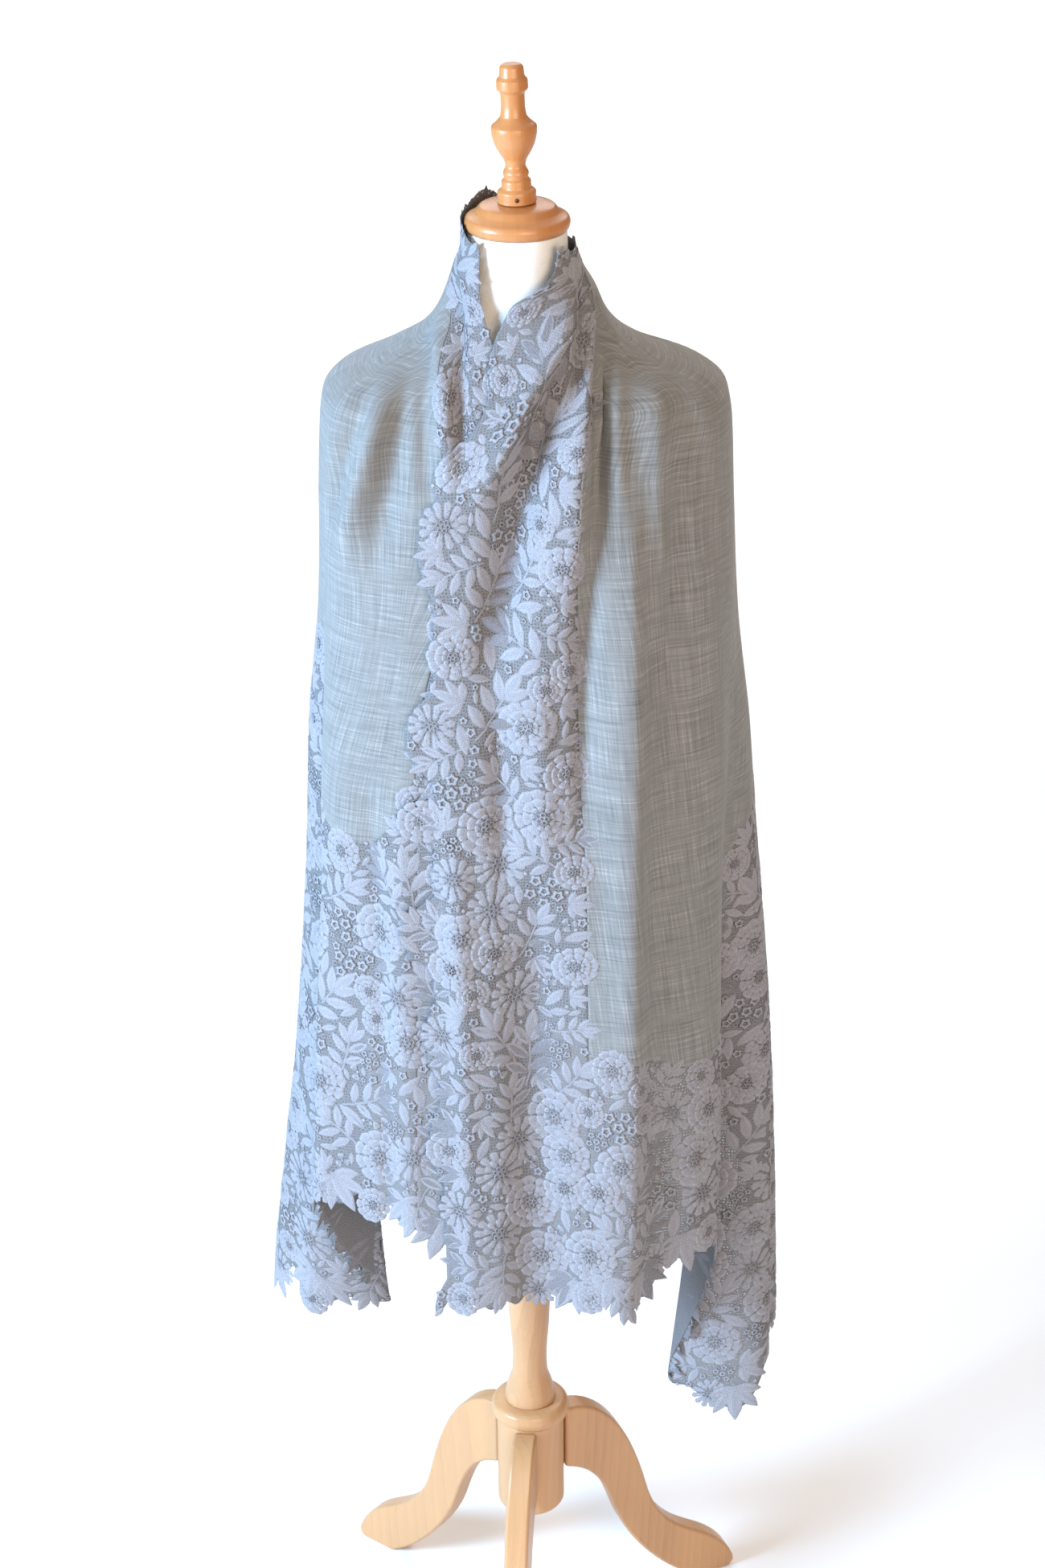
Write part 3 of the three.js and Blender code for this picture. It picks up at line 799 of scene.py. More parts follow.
def flat_place(tree):
    """Output with the cloth's flat lengths."""
    return join(tree, "ShaderNodeUVMap", {}, uv_map="lie").outputs["UV"]


def solid_place(tree):
    """Output with the place on the object."""
    return join(tree, "ShaderNodeTexCoord", {}).outputs["Object"]


def bump(tree, surface, height, distance, strength):
    """Bump of a surface, with its height in metres."""
    made = join(tree, "ShaderNodeBump", {"Height": height, "Distance": distance, "Strength": strength})
    tree.links.new(made.outputs["Normal"], surface.inputs["Normal"])


def woven_material(colour):
    """Slubbed plain weave: thick and thin threads both ways on the cloth's flat lengths."""
    finish = {"Roughness": 0.88, "Specular IOR Level": 0.25, "Sheen Weight": 0.18, "Sheen Roughness": 0.5}
    material, tree, surface = new_material("woven_cloth", finish)
    lie = flat_place(tree)
    warp = stretched_noise(tree, lie, (540, 15, 1), 4.0, 0.64)
    weft = stretched_noise(tree, lie, (15, 540, 1), 4.0, 0.64)
    slub = stretched_noise(tree, lie, (11, 300, 1), 2.0)
    weave = blend(tree, (warp, 0.44), (weft, 0.44), (slub, 0.12))
    tint = tinted(tree, weave, colour, ((0.34, 0.5), (0.47, 0.9), (0.54, 1.08), (0.66, 1.75)))
    tree.links.new(tint, surface.inputs["Base Color"])
    bump(tree, surface, weave, 0.0016, 0.55)
    return material


def net_material(colour):
    """Open net of the lace: threads along the edges of small cells, half clear between them."""
    material, tree, surface = new_material("lace_net", {"Roughness": 0.9, "Specular IOR Level": 0.2})
    lie = flat_place(tree)
    cells = join(
        tree,
        "ShaderNodeTexVoronoi",
        {"Vector": lie, "Scale": 300.0, "Randomness": 0.55},
        voronoi_dimensions="2D",
        feature="DISTANCE_TO_EDGE",
    )
    reach = {"From Min": 0.2, "From Max": 0.3, "To Min": 1.0, "To Max": 0.5}
    cover = join(tree, "ShaderNodeMapRange", {"Value": cells.outputs["Distance"], **reach})
    tree.links.new(cover.outputs["Result"], surface.inputs["Alpha"])
    fuzz = stretched_noise(tree, lie, (900, 900, 1), 2.0)
    tint = tinted(tree, fuzz, colour, ((0.3, 0.8), (0.7, 1.15)))
    tree.links.new(tint, surface.inputs["Base Color"])
    return material


def flower_material(colour):
    """Embroidered lace: fine threads along each petal and leaf, with painted light on the raised cords and
    painted shade in the low parts between them, and pinholes painted dark as painted shade seen through them.
    """
    finish = {"Roughness": 0.8, "Specular IOR Level": 0.3, "Sheen Weight": 0.15, "Sheen Roughness": 0.45}
    material, tree, surface = new_material("lace_flowers", finish)
    lie = flat_place(tree)
    thread = stretched_noise(tree, lie, (1500, 170, 1), 2.0)
    # Painted light and shade: the cords' relief tints the flowers lighter where they are raised and darker in
    # the low parts between them.
    relief = join(tree, "ShaderNodeAttribute", {}, attribute_name="relief").outputs["Fac"]
    tone = blend(tree, (relief, 0.6), (thread, 0.5))
    threads_and_painted_shade = tinted(tree, tone, colour, ((0.1, 0.5), (0.42, 0.86), (0.72, 1.0), (0.95, 1.22)))
    cells = join(
        tree,
        "ShaderNodeTexVoronoi",
        {"Vector": lie, "Scale": 520.0, "Randomness": 0.6},
        voronoi_dimensions="2D",
    )
    # Painted shade: pinholes darkened as if seen through to the shade behind the lace.
    steps = ((0.14, (0.45, 0.44, 0.43)), (0.34, (1.0, 1.0, 1.0)))
    pinhole_painted_shade = colour_steps(tree, cells.outputs["Distance"], steps)
    pierced = join(
        tree,
        "ShaderNodeMix",
        {6: threads_and_painted_shade, 7: pinhole_painted_shade, 0: 0.75},
        data_type="RGBA",
        blend_type="MULTIPLY",
    )
    tree.links.new(pierced.outputs[2], surface.inputs["Base Color"])
    bump(tree, surface, thread, 0.0012, 0.6)
    return material


def linen_material(colour):
    """Plain linen cover: a fine even weave with faint soft marks."""
    material, tree, surface = new_material("form_linen", {"Roughness": 0.92, "Specular IOR Level": 0.2})
    place = solid_place(tree)
    level = stretched_noise(tree, place, (260, 260, 1500), 2.0)
    upright = stretched_noise(tree, place, (1500, 1500, 120), 2.0)
    cloud = stretched_noise(tree, place, (9, 9, 6), 3.0)
    weave = blend(tree, (level, 0.5), (upright, 0.5))
    tone = blend(tree, (weave, 0.7), (cloud, 0.3))
    tint = tinted(tree, tone, colour, ((0.3, 0.86), (0.5, 1.0), (0.7, 1.06)))
    tree.links.new(tint, surface.inputs["Base Color"])
    bump(tree, surface, weave, 0.0008, 0.35)
    return material


def wood_material(name, colour, gloss, turn):
    """Clear-coated wood: rings of early and late growth cut along the grain, with fine pores."""
    finish = {"Roughness": gloss, "Specular IOR Level": 0.45, "Coat Weight": 0.15, "Coat Roughness": 0.22}
    material, tree, surface = new_material(name, finish)
    laid = {"Vector": solid_place(tree), "Rotation": turn, "Location": WOOD_HEART}
    grain = join(tree, "ShaderNodeMapping", laid).outputs["Vector"]
    drift = stretched_noise(tree, grain, (16, 16, 2.2), 2.0)
    rings = join(tree, "ShaderNodeMapping", {"Vector": grain, "Scale": (1.0, 1.0, 0.09)}).outputs["Vector"]
    growth = {"Scale": 30.0, "Distortion": 4.6, "Detail": 2.0, "Detail Scale": 0.8, "Detail Roughness": 0.6}
    wave = join(
        tree,
        "ShaderNodeTexWave",
        {"Vector": rings, **growth},
        wave_type="RINGS",
        rings_direction="Z",
        wave_profile="SAW",
    )
    pores = stretched_noise(tree, grain, (900, 900, 26), 2.0)
    tone = blend(tree, (wave.outputs["Fac"], 0.12), (drift, 0.64), (pores, 0.24))
    tint = tinted(tree, tone, colour, ((0.2, 0.66), (0.42, 0.92), (0.6, 1.0), (0.82, 1.2)))
    tree.links.new(tint, surface.inputs["Base Color"])
    bump(tree, surface, pores, 0.0006, 0.25)
    return material


def floor_material(colour):
    """Plain pale floor with a faint cloudiness."""
    material, tree, surface = new_material("studio_floor", {"Roughness": 0.85, "Specular IOR Level": 0.1})
    cloud = stretched_noise(tree, solid_place(tree), (0.6, 0.6, 0.6), 2.0)
    tint = tinted(tree, cloud, colour, ((0.3, 0.985), (0.7, 1.0)))
    tree.links.new(tint, surface.inputs["Base Color"])
    return material


# Lace flowers. Each template lies flat with x across, y along and h up, and is closed below.


LOW = -0.3


def blade(along, half_width, across, cords, curl):
    """Petal or leaf: a grid whose half width changes along it, low at the rim and raised in between by the
    cords' heights. Its tip is drawn back at the sides by curl, and one flat face closes it below."""
    rows, columns = len(along), len(across)
    heights = np.full((rows, columns), LOW)
    heights[1:-1, 1:-1] = cords
    v = np.array(along, float)[:, None]
    u = np.array(across, float)[None, :]
    x = u * np.array(half_width, float)[:, None] / 2
    y = v - curl * v**4 * u**2
    points = np.stack([x, y + 0 * x, heights], -1).reshape(-1, 3)
    index = np.arange(rows * columns).reshape(rows, columns)
    return points, [quads(index)[:, ::-1], rim_of(index)[None, :]]


def wheel(radii, heights, count, wobble, lobes):
    """Ring of rings round a centre: radii and heights go from the outside in and back below, and each
    radius wobbles with a cosine of the angle."""
    angle = 2 * np.pi * np.arange(count) / count
    scale = 1 - wobble + wobble * np.cos(lobes * angle)
    radius = np.array(radii, float)[:, None] * np.where(np.array(radii)[:, None] > 0.4, scale, 1.0)
    x = radius * np.sin(angle)
    y = radius * np.cos(angle)
    points = np.stack([x, y, np.array(heights, float)[:, None] + 0 * x], -1).reshape(-1, 3)
    rings = np.arange(len(radii) * count).reshape(len(radii), count)
    below = np.roll(rings, -1, axis=0)
    faces = np.stack([rings, below, np.roll(below, -1, 1), np.roll(rings, -1, 1)], -1)
    return points, [faces.reshape(-1, 4)]


def button(count):
    """Small raised dot: two rings, a flat top and a flat underside."""
    angle = 2 * np.pi * np.arange(count) / count
    ring = np.stack([np.sin(angle), np.cos(angle)], -1)
    points = np.concatenate(
        [
            np.column_stack([ring, np.full(count, LOW)]),
            np.column_stack([0.78 * ring, np.full(count, 0.6)]),
            np.column_stack([0.36 * ring, np.full(count, 1.0)]),
        ]
    )
    index = np.arange(3 * count).reshape(3, count)
    around = np.roll(index, -1, axis=1)
    sides = np.stack([index[:-1], index[1:], around[1:], around[:-1]], -1).reshape(-1, 4)
    return points, [sides, index[2][None, ::-1], index[0][None, :]]


PETAL = blade(
    (0.0, 0.3, 0.6, 0.88, 1.0),
    (0.3, 0.66, 0.98, 0.92, 0.55),
    (-1.0, -0.8, 0.0, 0.8, 1.0),
    ((0.6, 0.25, 0.6), (0.9, 0.35, 0.9), (1.0, 0.9, 1.0)),
    0.14,
)
SCALLOP = blade(
    (0.0, 0.5, 0.86, 1.0),
    (0.5, 0.9, 0.96, 0.56),
    (-1.0, -0.78, 0.0, 0.78, 1.0),
    ((0.8, 0.4, 0.8), (1.0, 0.95, 1.0)),
    0.2,
)
LEAF = blade(
    (0.0, 0.16, 0.42, 0.72, 0.93, 1.0),
    (0.08, 0.56, 1.0, 0.78, 0.26, 0.04),
    (-1.0, -0.66, 0.0, 0.66, 1.0),
    ((0.7, 0.45, 0.7), (0.9, 0.4, 0.9), (0.9, 0.45, 0.9), (0.7, 0.7, 0.7)),
    0.0,
)
RAY = blade(
    (0.0, 0.4, 0.86, 1.0),
    (0.42, 0.76, 1.0, 0.52),
    (-1.0, -0.6, 0.0, 0.6, 1.0),
    ((0.8, 0.3, 0.8), (0.95, 0.6, 0.95)),
    0.1,
)
BAR = blade(
    (0.0, 0.12, 0.88, 1.0),
    (0.5, 1.0, 1.0, 0.5),
    (-1.0, 0.0, 1.0),
    ((0.8,), (0.8,)),
    0.0,
)
STAR = wheel((1.0, 0.62, 0.2), (LOW, 0.95, LOW), 20, 0.17, 5)
EYELET = wheel((1.0, 0.76, 0.48), (LOW, 0.85, LOW), 8, 0.0, 1)
DOT = button(8)
TEMPLATES = (PETAL, LEAF, RAY, BAR, STAR, EYELET, DOT, SCALLOP)
PETAL_KIND, LEAF_KIND, RAY_KIND, BAR_KIND, STAR_KIND, EYELET_KIND, DOT_KIND, SCALLOP_KIND = range(8)


def crown(kind, count, start, length, width, lift, turn=0.0):
    """Ring of blades that point outwards from a centre. Rows are kind, x, y, angle, length, width, lift."""
    rows = np.tile((kind, 0.0, 0.0, 0.0, length, width, lift), (count, 1))
    angle = turn + 2 * np.pi * np.arange(count) / count
    rows[:, 1] = -start * np.sin(angle)
    rows[:, 2] = start * np.cos(angle)
    rows[:, 3] = angle
    return rows


def single(kind, x, y, angle, length, width, lift=0.0):
    """One element of a motif, as a row."""
    return np.array([[kind, x, y, math.radians(angle), length, width, lift]])


def peony(size):
    """Full oval flower: two crowns of wide petals and one of scallops, round a centre of eyelets."""
    rows = np.concatenate(
        [
            crown(PETAL_KIND, 11, 0.55 * size, 0.46 * size, 0.52 * size, 0.0),
            crown(PETAL_KIND, 8, 0.32 * size, 0.38 * size, 0.48 * size, 0.35, 0.25),
            crown(SCALLOP_KIND, 9, 0.24 * size, 0.18 * size, 0.24 * size, 0.7, 0.1),
            crown(EYELET_KIND, 5, 0.14 * size, 0.1 * size, 0.1 * size, 0.8, 0.3),
            single(EYELET_KIND, 0, 0, 0, 0.09 * size, 0.09 * size, 0.8),
        ]
    )
    rows[:, 1] *= 0.88
    rows[:, 2] *= 1.08
    return rows


def pair(size):
    """Two full flowers, one above the other and partly over it."""
    upper = peony(size)
    upper[:, 2] += 0.62 * size
    lower = peony(0.86 * size)
    lower[:, 2] -= 0.72 * size
    lower[:, 1] += 0.12 * size
    lower[:, 6] += 0.6
    return np.concatenate([upper, lower])


def daisy(size):
    """Flower with two crowns of long petals round a centre of eyelets."""
    hole = 0.11 * size
    return np.concatenate(
        [
            crown(RAY_KIND, 12, 0.42 * size, 0.58 * size, 0.36 * size, 0.0),
            crown(RAY_KIND, 10, 0.27 * size, 0.4 * size, 0.27 * size, 0.35, 0.26),
            crown(EYELET_KIND, 6, 0.19 * size, hole, hole, 0.7),
            single(EYELET_KIND, 0, 0, 0, hole, hole, 0.7),
        ]
    )


def spray(size):
    """Curved stem with pointed leaves: one at the tip and pairs down both sides."""
    places = ((-0.62, 60, 0.72), (-0.24, 50, 0.8), (0.12, 36, 0.74))
    rows = [single(LEAF_KIND, 0.08 * size, 0.28 * size, -8, 0.82 * size, 0.34 * size, 0.1)]
    for place, angle, length in places:
        bend = 0.12 * size * (1 - place**2) - 0.02 * size
        rows.append(single(LEAF_KIND, bend, place * size, angle, length * size, 0.32 * size))
        rows.append(single(LEAF_KIND, bend, place * size + 0.08 * size, -angle, length * size, 0.32 * size))
    for start in (-1.0, -0.6, -0.2):
        bend = 0.12 * size * (1 - start**2) - 0.02 * size
        rows.append(single(BAR_KIND, bend, start * size, 20 * (start + 0.2), 0.46 * size, 2.4, 0.3))
    return np.concatenate(rows)


def fan(size):
    """Five leaves that spread from one foot."""
    rows = [single(LEAF_KIND, 0, -0.75 * size, 0, 1.7 * size, 0.62 * size, 0.2)]
    for angle, length in ((34, 1.4), (68, 1.0)):
        rows.append(single(LEAF_KIND, 0, -0.62 * size, angle, length * size, 0.5 * size))
        rows.append(single(LEAF_KIND, 0, -0.62 * size, -angle, length * size, 0.5 * size))
    return np.concatenate(rows)


def posy(size):
    """Cluster of small five-petalled flowers with an eyelet between each two."""
    ring = 0.36 * size
    hole = 0.13 * size
    return np.concatenate(
        [
            crown(STAR_KIND, 5, 0.64 * size, ring, ring, 0.0),
            crown(EYELET_KIND, 5, 0.78 * size, hole, hole, 0.3, math.pi / 5),
            single(STAR_KIND, 0, 0, 0, ring, ring, 0.3),
        ]
    )


def leaf(size):
    """One leaf."""
    return single(LEAF_KIND, 0, -size, 0, 2 * size, 0.78 * size)


def bud(size):
    """Three eyelets with a petal behind each."""
    ring = 0.34 * size
    return np.concatenate(
        [
            crown(PETAL_KIND, 3, 0.25 * size, 0.75 * size, 0.95 * size, 0.0),
            crown(EYELET_KIND, 3, 0.5 * size, ring, ring, 0.6),
            single(DOT_KIND, 0, 0, 0, 0.2 * size, 0.2 * size, 0.6),
        ]
    )


def star(size):
    """One small flower."""
    return single(STAR_KIND, 0, 0, 0, size, size)


def speck(size):
    """One dot."""
    return single(DOT_KIND, 0, 0, 0, size, size)


def rotated(x, y, angle):
    """A flat place turned to the left about the origin."""
    return x * np.cos(angle) - y * np.sin(angle), x * np.sin(angle) + y * np.cos(angle)


class Strip:
    """Lace laid flat: t is the height, and s the length along the cloth at that height, to the right of a
    starting line. The tables turn s into a bearing and a bearing into s, and have steps of height, length
    and bearing."""

    level = 6.0
    step = 3.0
    turn = 0.4

    def __init__(self, low, high, first, last, start, is_over):
        self.is_over = is_over
        self.low = low
        self.first = first
        heights = np.arange(low, high + self.level, self.level)
        bearings = np.arange(first, last + self.turn, self.turn)
        points = drape(bearings[None, :], heights[:, None], is_over)
        lengths = running_lengths(points)
        origin = np.array([np.interp(start(z), bearings, row) for z, row in zip(heights, lengths)])
        self.lengths = lengths - origin[:, None]
        self.s_low = self.lengths.min()
        places = np.arange(self.s_low, self.lengths.max() + self.step, self.step)
        self.bearings = np.array([np.interp(places, row, bearings) for row in self.lengths])

    def read(self, table, down, across):
        """Value of a table between its rows and columns, by the mean of the four places round it."""
        down = np.clip(down, 0, table.shape[0] - 1.001)
        across = np.clip(across, 0, table.shape[1] - 1.001)
        i, j = down.astype(int), across.astype(int)
        a, b = down - i, across - j
        upper = table[i, j] * (1 - b) + table[i, j + 1] * b
        lower = table[i + 1, j] * (1 - b) + table[i + 1, j + 1] * b
        return upper * (1 - a) + lower * a

    def bearing(self, s, t):
        """Bearing of a flat place."""
        return self.read(self.bearings, (t - self.low) / self.level, (s - self.s_low) / self.step)

    def along(self, bearing, t):
        """Length s of a bearing at a height."""
        return self.read(self.lengths, (t - self.low) / self.level, (bearing - self.first) / self.turn)


# Rough length of one degree round the shawl, and the degrees by which the lower front's flowers run on below
# the upper front.
DEGREE_LENGTH = 4.0
TUCK = 8.0


def steepness(line, bearing):
    """How much longer a sloping line round the shawl is than its level run."""
    slope = (line(bearing + 1.0) - line(bearing - 1.0)) / (2 * DEGREE_LENGTH)
    return np.hypot(1.0, slope)


def over_depth(strip, s, t):
    """Distance inside the upper front's lace: down its free edge and along its hem."""
    bearing = strip.bearing(s, t)
    edge = s - strip.along(over_edge_bearing(t), t)
    hem = (t - over_hem_edge(bearing)) / steepness(over_hem, bearing)
    border = np.maximum(strip.along(over_seam(t), t) - s, over_hem_seam(bearing) - t)
    side = DEGREE_LENGTH * (BACK_START - bearing)
    return np.minimum.reduce([edge, hem, collar_edge(bearing) - t, border, side])


def under_depth(strip, s, t):
    """Distance inside the part of the lower front's lace that the upper front leaves uncovered."""
    bearing = strip.bearing(s, t)
    edge = strip.along(np.minimum(under_edge_bearing(t), over_edge_bearing(t) + TUCK), t) - s
    hem = (t - under_hem_edge(bearing)) / steepness(under_hem, bearing)
    border = np.maximum(s - strip.along(under_seam(t), t), under_hem_seam(bearing) - t)
    side = DEGREE_LENGTH * (bearing - BACK_END + 360)
    return np.minimum.reduce([edge, hem, collar_edge(bearing) - t, border, side])


def back_depth(strip, s, t):
    """Distance inside the lace behind: the hem and the collar."""
    bearing = strip.bearing(s, t)
    hem = (t - over_hem_edge(bearing)) / steepness(over_hem, bearing)
    side = DEGREE_LENGTH * np.minimum(bearing - BACK_START, BACK_END - bearing)
    hem = np.minimum.reduce([hem, over_hem_seam(bearing) - t, side])
    collar = np.minimum(collar_edge(bearing) - t, t - collar_seam(bearing))
    collar = np.minimum.reduce([collar, bearing - NECK_SIDE, 360 - NECK_SIDE - bearing])
    return np.maximum(hem, collar)


# Half the run over which the direction of an edge is taken.
DIRECTION_RUN = 12


def along_line(s, t, pitch):
    """Even places along a line of flat points, with the direction to its right."""
    steps = np.hypot(np.diff(s), np.diff(t))
    length = np.concatenate([[0.0], np.cumsum(steps)])
    count = max(int(length[-1] / pitch), 1)
    at = (np.arange(count) + 0.5) * length[-1] / count
    ahead = np.minimum(at + DIRECTION_RUN, length[-1])
    behind = np.maximum(at - DIRECTION_RUN, 0)
    run = np.interp(ahead, length, s) - np.interp(behind, length, s)
    rise = np.interp(ahead, length, t) - np.interp(behind, length, t)
    size = np.hypot(run, rise)
    return np.interp(at, length, s), np.interp(at, length, t), rise / size, -run / size


# Motifs with their sizes, in the turn in which they are laid along free edges, hems, the neck and seams, and
# those that fill what is left.
EDGE_MOTIFS = ((peony, 25.0), (fan, 21.0), (daisy, 24.0), (fan, 18.0), (spray, 32.0), (fan, 23.0))
HEM_MOTIFS = ((fan, 30.0), (peony, 20.0), (fan, 25.0), (spray, 33.0), (fan, 31.0), (daisy, 20.0))
COLLAR_MOTIFS = ((fan, 12.0), (peony, 14.0))
SEAM_MOTIFS = ((fan, 17.0), (peony, 20.0), (spray, 26.0), (fan, 14.0), (peony, 24.0), (leaf, 16.0))
LARGE_MOTIFS = ((pair, 29.0), (spray, 42.0), (posy, 22.0), (peony, 31.0), (spray, 34.0), (daisy, 27.0))
MIDDLE_MOTIFS = ((fan, 16.0), (leaf, 18.0), (peony, 18.0), (leaf, 17.0), (posy, 13.0), (leaf, 15.0))
SMALL_MOTIFS = ((leaf, 12.0), (bud, 10.0), (leaf, 10.0), (bud, 8.5))


def flat_samples():
    """Places that cover each template: an even grid over a blade's own width, or over a disc."""
    grid_u, grid_v = np.meshgrid(np.linspace(-1.06, 1.06, 9), np.linspace(-0.02, 1.03, 24))
    disc_x, disc_y = np.meshgrid(np.linspace(-1.1, 1.1, 11), np.linspace(-1.1, 1.1, 11))
    inside = np.hypot(disc_x, disc_y) < 1.12
    disc = np.stack([disc_x[inside], disc_y[inside]], -1)
    covers = []
    for points, faces in TEMPLATES:
        if len(faces) == 2:
            along, widest = np.unique(points[:, 1].round(3)), points[:, 0].max()
            rim = np.array([np.abs(points[np.abs(points[:, 1] - y) < 0.002, 0]).max() for y in along])
            half = np.minimum(np.interp(grid_v, along, rim) + 0.02, widest)
            covers.append(np.stack([(grid_u * half).ravel(), grid_v.ravel()], -1))
        else:
            covers.append(disc)
    return covers


COVERS = flat_samples()


def motif_cover(rows):
    """Places that cover a motif, from those of its elements."""
    places = []
    for kind, x, y, angle, length, width, _ in rows:
        cover = COVERS[int(kind)] * (width, length)
        turned_x, turned_y = rotated(*cover.T, angle)
        places.append(np.stack([x + turned_x, y + turned_y], -1))
    return np.concatenate(places)


# How far flowers may reach past the lace, how much a motif on an edge is moved and turned by chance, and the
# shares of it that have to be clear and inside. Then the free cells for each try at filling, and the least
# tries.
EDGE_MARGIN = 2.0
EDGE_SHIFT = 3.0
EDGE_SWING = 0.3
EDGE_CLEAR = 0.6
EDGE_INSIDE = 0.3
CELLS_A_TRY = 90
LEAST_TRIES = 20


class Layout:
    """Motifs laid on a strip. A map of square millimetres keeps what is lace and what is taken."""

    def __init__(self, strip, depth, rng, low, high, left, right):
        self.strip = strip
        self.rng = rng
        self.left = left
        self.low = low
        s, t = np.meshgrid(np.arange(left, right), np.arange(low, high))
        self.room = depth(strip, s, t) > -EDGE_MARGIN
        self.taken = np.zeros(self.room.shape, bool)
        self.known = {}
        self.rows = []

    def made(self, motif, size):
        """Elements and cover of a motif, worked out once."""
        if (motif, size) not in self.known:
            rows = motif(size)
            self.known[motif, size] = rows, motif_cover(rows)
        return self.known[motif, size]

    def cells(self, cover, s, t, angle):
        """Rows and columns of the map's cells under a cover, and the number of its places on and off it."""
        turned_x, turned_y = rotated(*cover.T, angle)
        x = s + turned_x - self.left
        y = t + turned_y - self.low
        on_map = (x >= 0) & (x < self.room.shape[1]) & (y >= 0) & (y < self.room.shape[0])
        return y[on_map].astype(int), x[on_map].astype(int), len(x)

    def lay(self, motif, size, s, t, angle, clear, inside):
        """Lays a motif down if enough of it is clear of the others and inside the lace."""
        rows, cover = self.made(motif, size)
        down, across, count = self.cells(cover, s, t, angle)
        if np.count_nonzero(~self.taken[down, across]) < clear * len(down):
            return
        if np.count_nonzero(self.room[down, across]) < inside * count:
            return
        self.taken[down, across] = True
        rows = rows.copy()
        turned_x, turned_y = rotated(rows[:, 1], rows[:, 2], angle)
        rows[:, 1] = s + turned_x
        rows[:, 2] = t + turned_y
        rows[:, 3] += angle
        self.rows.append(rows)

    def edge(self, line_s, line_t, pitch, motifs, first, share):
        """Row of motifs along an edge, facing out of it and set in by a share of their size."""
        for i, (x, y, out_x, out_y) in enumerate(zip(*along_line(line_s, line_t, pitch))):
            motif, size = motifs[(i + first) % len(motifs)]
            inset = share * size + self.rng.uniform(-EDGE_SHIFT, EDGE_SHIFT)
            angle = math.atan2(-out_x, out_y) + self.rng.uniform(-EDGE_SWING, EDGE_SWING)
            s, t = x - inset * out_x, y - inset * out_y
            self.lay(motif, size, s, t, angle, EDGE_CLEAR, EDGE_INSIDE)

    def down(self, line, heights, pitch, motifs, first=0, share=0.8):
        """Row of motifs along a line down the shawl."""
        self.edge(self.strip.along(line(heights), heights), heights, pitch, motifs, first, share)

    def round(self, line, bearings, pitch, motifs, first=0, share=0.8):
        """Row of motifs along a line round the shawl."""
        heights = line(bearings)
        self.edge(self.strip.along(bearings, heights), heights, pitch, motifs, first, share)

    def fill(self, motifs, rounds, clear, inside, swing):
        """Lays motifs over what is left, at seeded places among the free cells."""
        for _ in range(rounds):
            down, across = np.nonzero(self.room & ~self.taken)
            chosen = self.rng.integers(0, len(down), max(len(down) // CELLS_A_TRY, LEAST_TRIES))
            angles = self.rng.uniform(-swing, swing, len(chosen))
            for place, angle in zip(chosen, angles):
                motif, size = motifs[len(self.rows) % len(motifs)]
                s, t = across[place] + self.left, down[place] + self.low
                self.lay(motif, size, s, t, angle, clear, inside)

# Share of an element's lift that its underside takes, and the lengths that shift its threads from one to the
# next.
UNDERSIDE_SHARE = 0.5
THREAD_SHIFT_S = 37.0
THREAD_SHIFT_T = 41.0


def flower_mesh(strip, rows, relief, lift):
    """Points, faces, flat lengths and relief of all elements, the relief being what the flowers' painted
    light and shade are read from: each template is turned and stretched into its place on the flat lace, then
    carried onto the cloth along its normal."""
    points, faces, flats, painted_shade_heights = [], [], [], []
    count = 0
    for kind, (template, template_faces) in enumerate(TEMPLATES):
        chosen = rows[rows[:, 0].astype(int) == kind]
        if not len(chosen):
            continue
        _, s, t, angle, length, width, raised = chosen.T[:, :, None]
        x = template[None, :, 0] * width
        y = template[None, :, 1] * length
        turned_x, turned_y = rotated(x, y, angle)
        flat_t = t + turned_y
        bearing = strip.bearing(s + turned_x, flat_t)
        normal = drape_normal(bearing, flat_t, strip.is_over)
        rise = template[None, :, 2]
        height = lift + relief * (rise + raised * np.where(rise < 0, UNDERSIDE_SHARE, 1.0))
        points.append((drape(bearing, flat_t, strip.is_over) + normal * height[..., None]).reshape(-1, 3))
        flat = np.stack([x + s % THREAD_SHIFT_S, y + t % THREAD_SHIFT_T], -1)
        flats.append(flat.reshape(-1, 2) * MILLIMETRE)
        # Each point's relief, clipped to 0..1, from which the flowers' material paints light on raised cords
        # and shade in the low parts.
        painted_shade_heights.append(np.broadcast_to(np.clip(template[:, 2], 0, 1), x.shape).ravel())
        starts = count + np.arange(len(chosen))[:, None, None] * len(template)
        faces += [(face[None] + starts).reshape(-1, face.shape[1]) for face in template_faces]
        count += len(chosen) * len(template)
    return np.concatenate(points), faces, np.concatenate(flats), np.concatenate(painted_shade_heights)


def revolve(profile, rows, segments):
    """Turned solid: a smooth profile of radius against height, carried round the axis and closed by two
    flat ends."""
    heights = np.linspace(profile[0][0], profile[-1][0], rows)
    heights = np.unique(np.concatenate([heights, [row[0] for row in profile]]))[::-1]
    radius = smooth_line(profile)(heights)
    angle = 2 * np.pi * np.arange(segments) / segments
    return ring_stack(radius[:, None], angle, heights[:, None])


def bezier(controls, count):
    """Points of a cubic Bezier curve, without its last one."""
    t = np.linspace(0.0, 1.0, count, endpoint=False)[:, None]
    a, b, c, d = (np.array(point, float) for point in controls)
    return a * (1 - t) ** 3 + 3 * b * t * (1 - t) ** 2 + 3 * c * t**2 * (1 - t) + d * t**3


